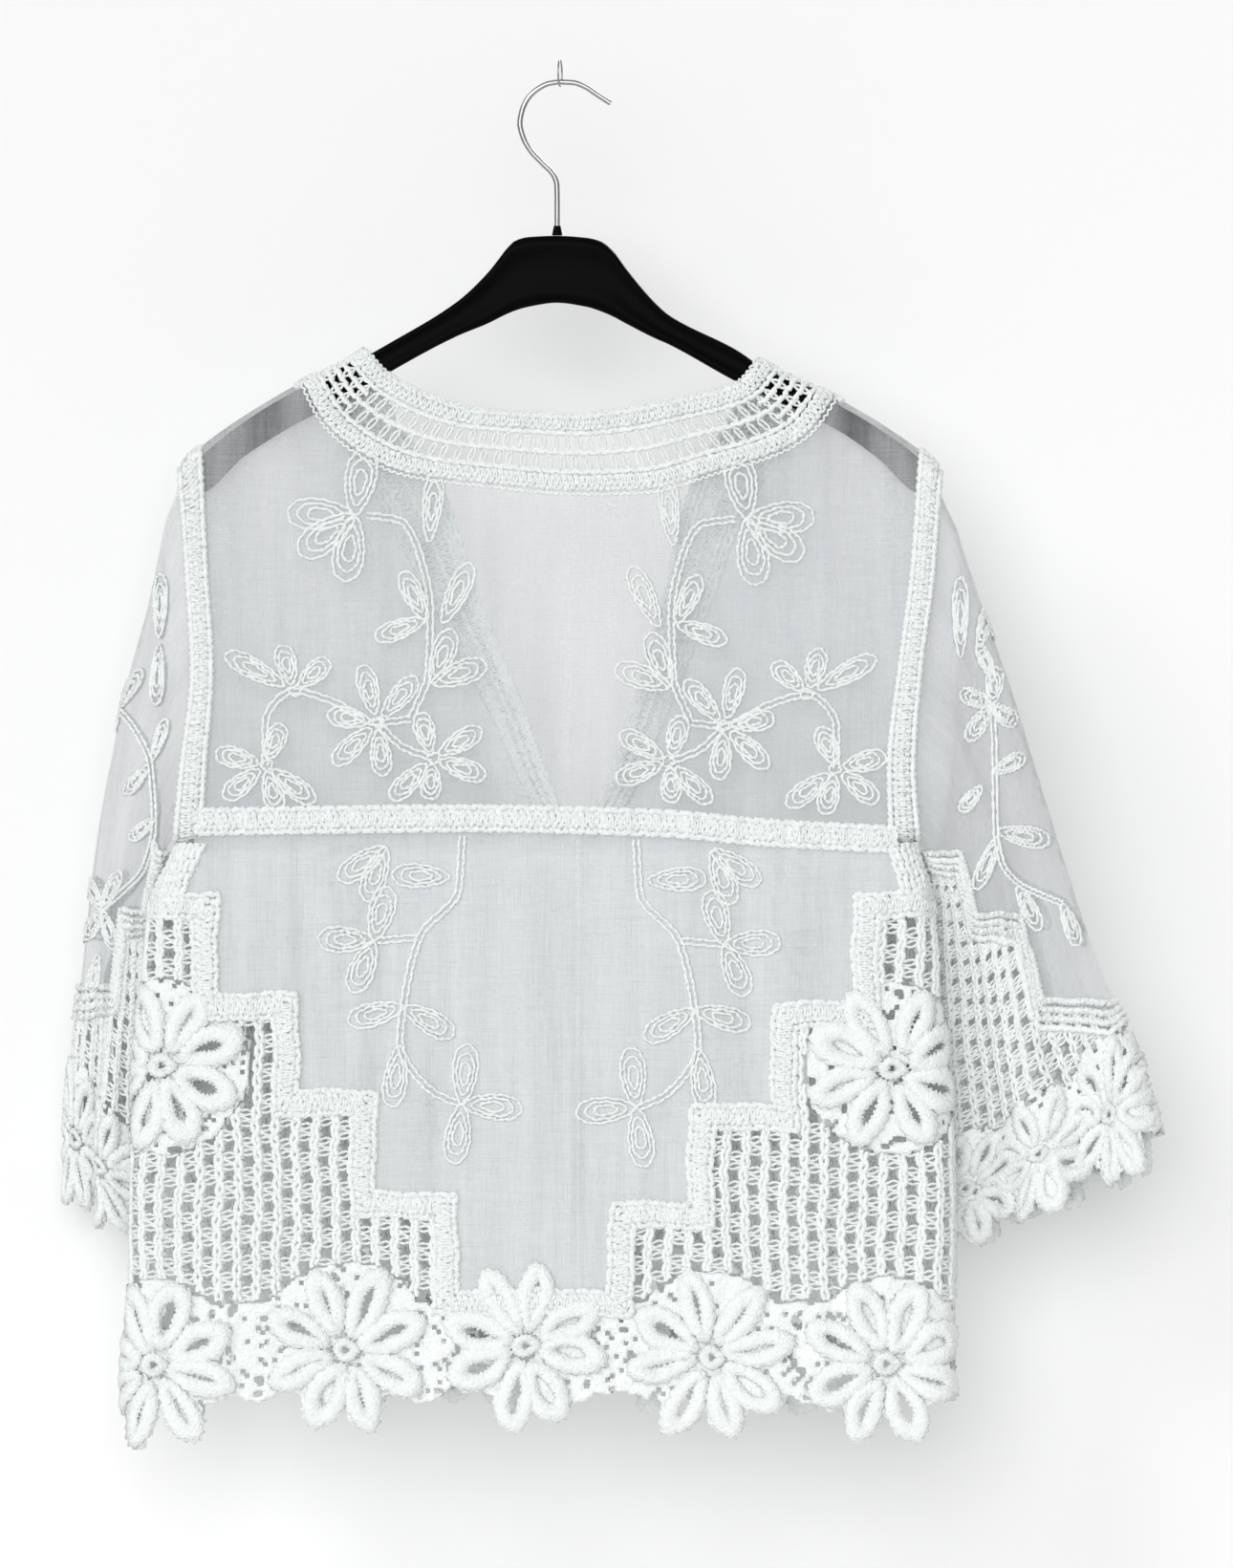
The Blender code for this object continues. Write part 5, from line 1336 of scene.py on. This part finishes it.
# %% Vines of the back and fronts
yoke_half = bloom(-116, -257, (80, 178, 262, 215))
yoke_half += stem([(-109, -257), (-90, -260), (-79, -279), (-73, -311), (-74, -345), (-84, -372)])
yoke_half += bloom(-74, -272, (84,), 32, 10) + bloom(-66, -318, (65,), 30, 11)
yoke_half += bloom(-76, -316, (115, 200), 24, 10) + bloom(-72, -352, (70, 20), 26, 12)
HUBS = ((-150, -356), (-103, -374), (-166, -398), (-72, -394))
LEAF_TIPS = ((-183, -338), (-156, -334), (-133, -341), (-110, -346), (-84, -352), (-158, -378),
             (-127, -370), (-124, -394), (-100, -400), (-78, -372), (-73, -414), (-46, -403),
             (-48, -380), (-190, -392), (-186, -414), (-160, -420), (-142, -416), (-92, -414))
for hub_u, hub_v in HUBS:
    yoke_half += leaf(hub_u - 3, hub_v, 0, 7, 7, 1)
for u, v in LEAF_TIPS:
    hub = min(HUBS, key=lambda h: math.dist(h, (u, v)))
    away = math.dist(hub, (u, v))
    start = (hub[0] + (u - hub[0]) * 0.16, hub[1] + (v - hub[1]) * 0.16)
    yoke_half += leaf(*start, math.degrees(math.atan2(v - hub[1], u - hub[0])), away, 13.5)
yoke_half += stem([(-84, -372), (-103, -374), (-128, -362), (-150, -356), (-166, -374), (-166, -398)])
yoke_half += stem([(-103, -374), (-88, -388), (-72, -394)])
lower_half = stem([(-55, -438), (-57, -468), (-79, -495), (-87, -527), (-90, -554), (-73, -581),
                   (-57, -589)])
lower_half += bloom(-62, -461, (178,), 26, 12) + bloom(-98, -444, (250, 215), 26, 12)
lower_half += bloom(-105, -497, (75, 178, 248), 25, 13) + stem([(-103, -497), (-80, -495)])
lower_half += bloom(-88, -534, (195, 330), 26, 12) + bloom(-90, -556, (262,), 28, 12)
lower_half += bloom(-55, -589, (85, 355, 262), 27, 13)
middle = -5.0
yarn("embroidery_yoke", yoke_half + mirrored(yoke_half, middle), back_cloth, 0.95, stitch=3.8,
     bead=0.35, sway=0.3, step=1.9, lift=0.6, sides=0)
yarn("embroidery_lower", lower_half + mirrored(lower_half, middle - 1), back_cloth, 0.95, stitch=3.8,
     bead=0.35, sway=0.3, step=1.9, lift=0.6, sides=0)
front_edges = [[(CENTRE_FRONT + d, -443), (CENTRE_FRONT + d, STEP_FOOT_Z)]
               for d in (-3.4, -1.6, 1.6, 3.4)]
yarn("front_edge_chains", front_edges, front_cloth, 1.0, stitch=3.0, bead=0.35, lift=0.6, sides=0)
front_half = [np.column_stack([np.asarray(p)[:, 0] - 18, np.asarray(p)[:, 1]]) for p in lower_half]
yarn("embroidery_front", front_half + mirrored(front_half, middle + 4), front_cloth, 0.95, stitch=3.8,
     bead=0.35, sway=0.3, step=2.3, lift=0.6, sides=0)

# %% [markdown]
# ## Vines of the sleeves
# The sleeves hang twisted, so a vine drawn on their flat pattern would come out sheared. Each
# vine is drawn here as it is seen from behind, in millimetres across and up, and the helper
# finds its flat places. The inner side of the sleeve gets the same vine, mirrored at the fold.
# %% Embroidery of the sleeves
def leaf_to(start, end, width, rings=3):
    """A leaf from its point at start to its tip at end."""
    away = np.subtract(end, start)
    angle = math.degrees(math.atan2(away[1], away[0]))
    return leaf(*start, angle, float(np.hypot(*away)), width, rings)


right_vine = stem([(243.6, -362), (245.2, -388), (245.9, -434), (249.4, -453), (258.7, -464.5),
                   (271.5, -471), (283, -476)], 1.2)
for tip in ((246, -343), (226, -357), (230, -384), (257, -375)):
    right_vine += leaf_to((243.6, -364), tip, 11)
for start, end, wide in (((247, -435), (276, -441), 13), ((247, -438), (235, -468), 10),
                         ((258, -466), (271, -491), 11), ((226, -337), (226, -292), 10),
                         ((238, -410), (226, -424), 9), ((283, -476), (292, -500), 9),
                         ((236, -332), (243, -306), 9), ((245, -402), (262, -393), 10),
                         ((245, -350), (236, -330), 8)):
    right_vine += leaf_to(start, end, wide)
left_vine = stem([(-250, -366), (-240, -378), (-231, -398), (-229, -430), (-235, -455), (-248, -470),
                  (-259, -479)], 1.2)
for tip in ((-252, -503), (-270, -497), (-270, -462), (-249, -458)):
    left_vine += leaf_to((-260, -480), tip, 9)
for start, end, wide in (((-226, -326), (-225, -290), 9), ((-226, -330), (-228, -364), 9),
                         ((-232, -398), (-246, -414), 8), ((-229, -428), (-243, -440), 8),
                         ((-230, -440), (-224, -468), 7), ((-250, -366), (-236, -344), 8),
                         ((-262, -505), (-268, -530), 8), ((-230, -395), (-222, -372), 7)):
    left_vine += leaf_to(start, end, wide)
for name, vine in (("left", left_vine), ("right", right_vine)):
    flat_vine = [from_behind(name, path) for path in vine]
    other_side = [np.column_stack([2 * SLEEVE_WIDTH - p[:, 0], p[:, 1]]) for p in flat_vine]
    yarn("embroidery_sleeve_" + name, flat_vine + other_side, sleeve_cloths[name], 0.95,
         stitch=3.8, bead=0.35, sway=0.3, step=2.2, lift=0.6, sides=0)
    print("stitches of the", name, "sleeve:", len(flat_vine), "paths a side")

# %% [markdown]
# ## Hanger
# The hanger is injection moulded: two thin rims run along its upper and lower edges with a flat
# recess between them. One closed section is carried from tip to tip, and its height at each place
# is read from the hanger's measured outline.
# %% Moulded body
HANGER = np.array([(-209, -232, -243), (-203, -224, -244), (-179, -204.5, -224), (-154, -189, -208),
                   (-114, -169.4, -187), (-98, -160.5, -177), (-58, -136, -155.5), (-41, -120, -148.5),
                   (-35, -112.5, -145.5), (-30, -106, -143), (-25, -101.5, -141), (-18, -99.6, -139),
                   (-2, -98.9, -136.7), (15, -100, -139), (23, -102, -141.5), (30, -107.5, -144.5),
                   (37, -117, -148.3), (53, -136, -156.5), (62, -144, -160.5), (100, -163.5, -181.5),
                   (116, -174.4, -189), (159, -195.4, -210), (180, -208, -225), (203, -225, -244),
                   (209, -233, -244)], float)
hanger_top = smooth_curve(HANGER[:, 0], HANGER[:, 1])
hanger_foot = smooth_curve(HANGER[:, 0], HANGER[:, 2])
HANGER_TIP = 209
SECTION = [(0.0, 1.4), (0.03, 3.0), (0.09, 4.1), (0.22, 4.2), (0.30, 3.1), (0.78, 3.1), (0.86, 4.0),
           (0.95, 3.6), (1.0, 1.6)]
section = SECTION + [(share, -half) for share, half in SECTION[::-1]]
bm = flat_grid((0, 0), (1, 1), 1 / 160, 1 / len(section))
for vert in bm.verts:
    x = -HANGER_TIP + 2 * HANGER_TIP * vert.co.x
    k = round(vert.co.y * len(section)) % len(section)
    share, half = section[k]
    z = hanger_foot(x) + (hanger_top(x) - hanger_foot(x)) * share
    vert.co = Vector((x, half, z)) * MM
bmesh.ops.remove_doubles(bm, verts=bm.verts, dist=0.00001)
bmesh.ops.holes_fill(bm, edges=[e for e in bm.edges if e.is_boundary], sides=len(section))


def make_plastic():
    material, nodes, links, shader = new_material("moulded_black_plastic", Specular_IOR_Level=0.03)
    shader.inputs["Base Color"].default_value = (0.0015, 0.0015, 0.002, 1)
    place = nodes.new("ShaderNodeTexCoord").outputs["Object"]
    grain = stretched_noise(nodes, links, place, (1500.0, 1500.0, 1500.0), 2.0)
    links.new(ranged(nodes, links, grain, 0.3, 0.7, 0.36, 0.5), shader.inputs["Roughness"])
    bumped(nodes, links, grain, 0.00008, shader)
    return material


plastic = make_plastic()
finish_piece("hanger_moulding", bm, plastic)
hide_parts("hanger_body")

# %% [markdown]
# ## Hook and ring
# The hook is bent from one steel wire that stands in a small moulded collar, and it hangs from a
# thin ring. Both wires are curves with a round bevel. The swivel between hook and body is closed.
# %% Wires
HOOK = [(-1.6, -94), (-1.6, -80), (-1.8, -70), (-3.5, -64.9), (-10.3, -57.6), (-17, -50.3),
        (-21.2, -42.2), (-22.7, -35.4), (-21.6, -28.7), (-18.4, -21.6), (-13, -16.2), (-6.2, -12.8),
        (0, -12), (7.2, -12.3), (13.9, -14.5), (20.5, -18.8), (28.6, -24)]


def make_steel():
    material, nodes, links, shader = new_material("drawn_steel", Metallic=1.0)
    shader.inputs["Base Color"].default_value = (0.42, 0.42, 0.43, 1)
    place = nodes.new("ShaderNodeTexCoord").outputs["Object"]
    draw = stretched_noise(nodes, links, place, (2500.0, 2500.0, 300.0), 2.0)
    links.new(ranged(nodes, links, draw, 0.3, 0.7, 0.22, 0.36), shader.inputs["Roughness"])
    return material


steel = make_steel()


def flat_in_front(u, v, lift):
    return np.stack([u, lift, v], 1)


def ring_place(u, v, lift):
    turn = math.radians(8)
    return np.stack([u * math.sin(turn), u * math.cos(turn), v], 1)


hook_line = smooth_path(HOOK, 1.5)
yarn("hook_wire", [hook_line], flat_in_front, 1.5, material=steel, bead=0.0,
     step=1.4, sides=4)
RING_RADIUS, RING_CENTRE_Z = 7.4, -6.9
turns = np.linspace(0, 2 * math.pi, 65)
ring_line = np.column_stack([RING_RADIUS * np.sin(turns), RING_CENTRE_Z + RING_RADIUS * np.cos(turns)])
yarn("ring_wire", [ring_line], ring_place, 0.5, material=steel, bead=0.0,
     step=0.8, sides=3)
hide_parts("hanger_hook")
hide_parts("hanging_ring")
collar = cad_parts["hook_collar"]
collar.data.materials.clear()
collar.data.materials.append(plastic)

# %% [markdown]
# ## Light, floor and wall
# A lamp with a wide disc lights the garment from the camera's side, a smaller one grazes it from
# the upper left, a third lights the side turned away, and the pale room fills the shade. A white
# wall hangs close behind, as in the photograph's studio: where the garment shades it, the lace's
# openings and the sheer cloth show that darker wall. The wall only shows itself to the camera, and
# only its front, so it takes no light from the garment's other side.
# %% Studio
world = bpy.data.worlds.new("pale_room")
bpy.context.scene.world = world
world.use_nodes = True
nodes, links = world.node_tree.nodes, world.node_tree.links
background = nodes["Background"]
background.inputs["Color"].default_value = (1, 1, 1, 1)
path = nodes.new("ShaderNodeLightPath")
OPEN_ROOM, LIT_ROOM = 0.905, 0.43        # as the camera sees the room, and as it lights the cloth
seen = ranged(nodes, links, path.outputs["Is Camera Ray"], 0.0, 1.0, LIT_ROOM, OPEN_ROOM)
links.new(seen, background.inputs["Strength"])

for name, way, energy, disc in (("front_light", (0.12, 0.97, -0.20), 1.43, 40),
                                ("side_light", (0.62, 0.55, -0.56), 0.75, 26),
                                ("far_light", (-0.45, -0.70, -0.55), 1.50, 30)):
    lamp = bpy.data.lights.new(name, "SUN")
    lamp.energy, lamp.angle = energy, math.radians(disc)
    holder = bpy.data.objects.new(name, lamp)
    holder.rotation_euler = Vector(way).to_track_quat("-Z", "Y").to_euler()
    bpy.context.scene.collection.objects.link(holder)


def stage_piece(name, bm, material):
    mesh = bpy.data.meshes.new(name)
    bm.to_mesh(mesh)
    bm.free()
    mesh.materials.append(material)
    piece = bpy.data.objects.new(name, mesh)
    bpy.context.scene.collection.objects.link(piece)
    piece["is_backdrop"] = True
    return piece


WALL_Y = 0.125
bm = bmesh.new()
bmesh.ops.create_circle(bm, cap_ends=True, segments=64, radius=2.2)
bmesh.ops.translate(bm, verts=bm.verts, vec=(0, 0, -1.15))
paper, _, _, shader = new_material("pale_paper", Roughness=0.9)
shader.inputs["Base Color"].default_value = (0.86, 0.86, 0.86, 1)
stage_piece("floor", bm, paper)
bm = bmesh.new()
bmesh.ops.create_grid(bm, x_segments=2, y_segments=2, size=1.15)
bmesh.ops.rotate(bm, verts=bm.verts, cent=(0, 0, 0), matrix=Matrix.Rotation(math.pi / 2, 3, "X"))
bmesh.ops.translate(bm, verts=bm.verts, vec=(0, WALL_Y, 0))
paint, nodes, links, shader = new_material("white_wall", Roughness=1.0, Specular_IOR_Level=0.0)
shader.inputs["Base Color"].default_value = (0.885, 0.885, 0.885, 1)
faced = nodes.new("ShaderNodeNewGeometry").outputs["Backfacing"]
links.new(ranged(nodes, links, faced, 0.0, 1.0, 1.0, 0.0), shader.inputs["Alpha"])
wall = stage_piece("wall", bm, paint)
wall.visible_diffuse = wall.visible_glossy = wall.visible_shadow = False
bpy.context.scene.view_settings.view_transform = "Standard"

# %% [markdown]
# ## What each sheet was cut to
# The gauze pieces are sheets. A table lists each one's flat cut, what it hangs from and the crochet
# and embroidery that go with it, and each cut and area is printed. The body's areas are those of the
# outlines drawn above. A sleeve's cut is the gauze above its cuff lace, opened out along the top
# fold; its area was measured on the finished tube, because the tube narrows and widens as it hangs.
# %% Sheets
def cut_area(outline):
    """Area of a flat outline in square metres."""
    x, y = np.array(outline, float).T
    return abs(float(x @ np.roll(y, -1) - y @ np.roll(x, -1))) / 2 * MM * MM


LEFT_SLEEVE_AREA, RIGHT_SLEEVE_AREA = 0.0257, 0.0308
SHEETS = (("gauze_back_yoke", (0.422, 0.275), cut_area(yoke_outline), "hanger_body",
           ("embroidery_yoke", "yoke_tape_stitches", "yoke_tape_crossings", "neckband_strands",
            "neckband_bars", "neckband_loops", "neckband_stitches")),
          ("gauze_back_lower", (0.425, 0.285), cut_area(lower_outline), "yoke_tape_stitches",
           ("embroidery_lower", "border_back", "border_stitches_back", "net_bars_back",
            "net_rungs_back", "web_back", "flowers_back")),
          ("gauze_front_left", (0.235, 0.540), cut_area(front_outlines["left"]), "hanger_body",
           ("v_band_left", "v_filling_left", "net_bars_front_left", "net_rungs_front_left",
            "web_front_left")),
          ("gauze_front_right", (0.210, 0.540), cut_area(front_outlines["right"]), "hanger_body",
           ("v_band_right", "v_filling_right", "net_bars_front_right", "net_rungs_front_right",
            "web_front_right")),
          ("gauze_sleeve_left", (0.18, 0.300), LEFT_SLEEVE_AREA, "armhole_stitches_left",
           ("embroidery_sleeve_left", "cuff_border_left", "cuff_bars_left", "cuff_rungs_left",
            "cuff_web_left", "cuff_flowers_left")),
          ("gauze_sleeve_right", (0.18, 0.310), RIGHT_SLEEVE_AREA, "armhole_stitches_right",
           ("embroidery_sleeve_right", "cuff_border_right", "cuff_bars_right", "cuff_rungs_right",
            "cuff_web_right", "cuff_flowers_right")))
for name, flat, area, held_by, going_with in SHEETS:
    [pieces[other] for other in going_with]
    print(name, "cut", flat, "area", round(area, 4))

# %% Finish
def triangles(piece):
    piece.data.calc_loop_triangles()
    return len(piece.data.loop_triangles)


for name, piece in pieces.items():
    if name.startswith("gauze"):
        area = sum(face.area for face in piece.data.polygons) / 2
        print(name, "cloth area", round(area, 4), "m2", "box", [round(x, 3) for x in piece.dimensions])
print("all pieces:", sum(triangles(p) for p in pieces.values()), "triangles")
visual_box = [list(corner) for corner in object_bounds()]
print("visual box", [[round(c / MM, 1) for c in p] for p in visual_box])
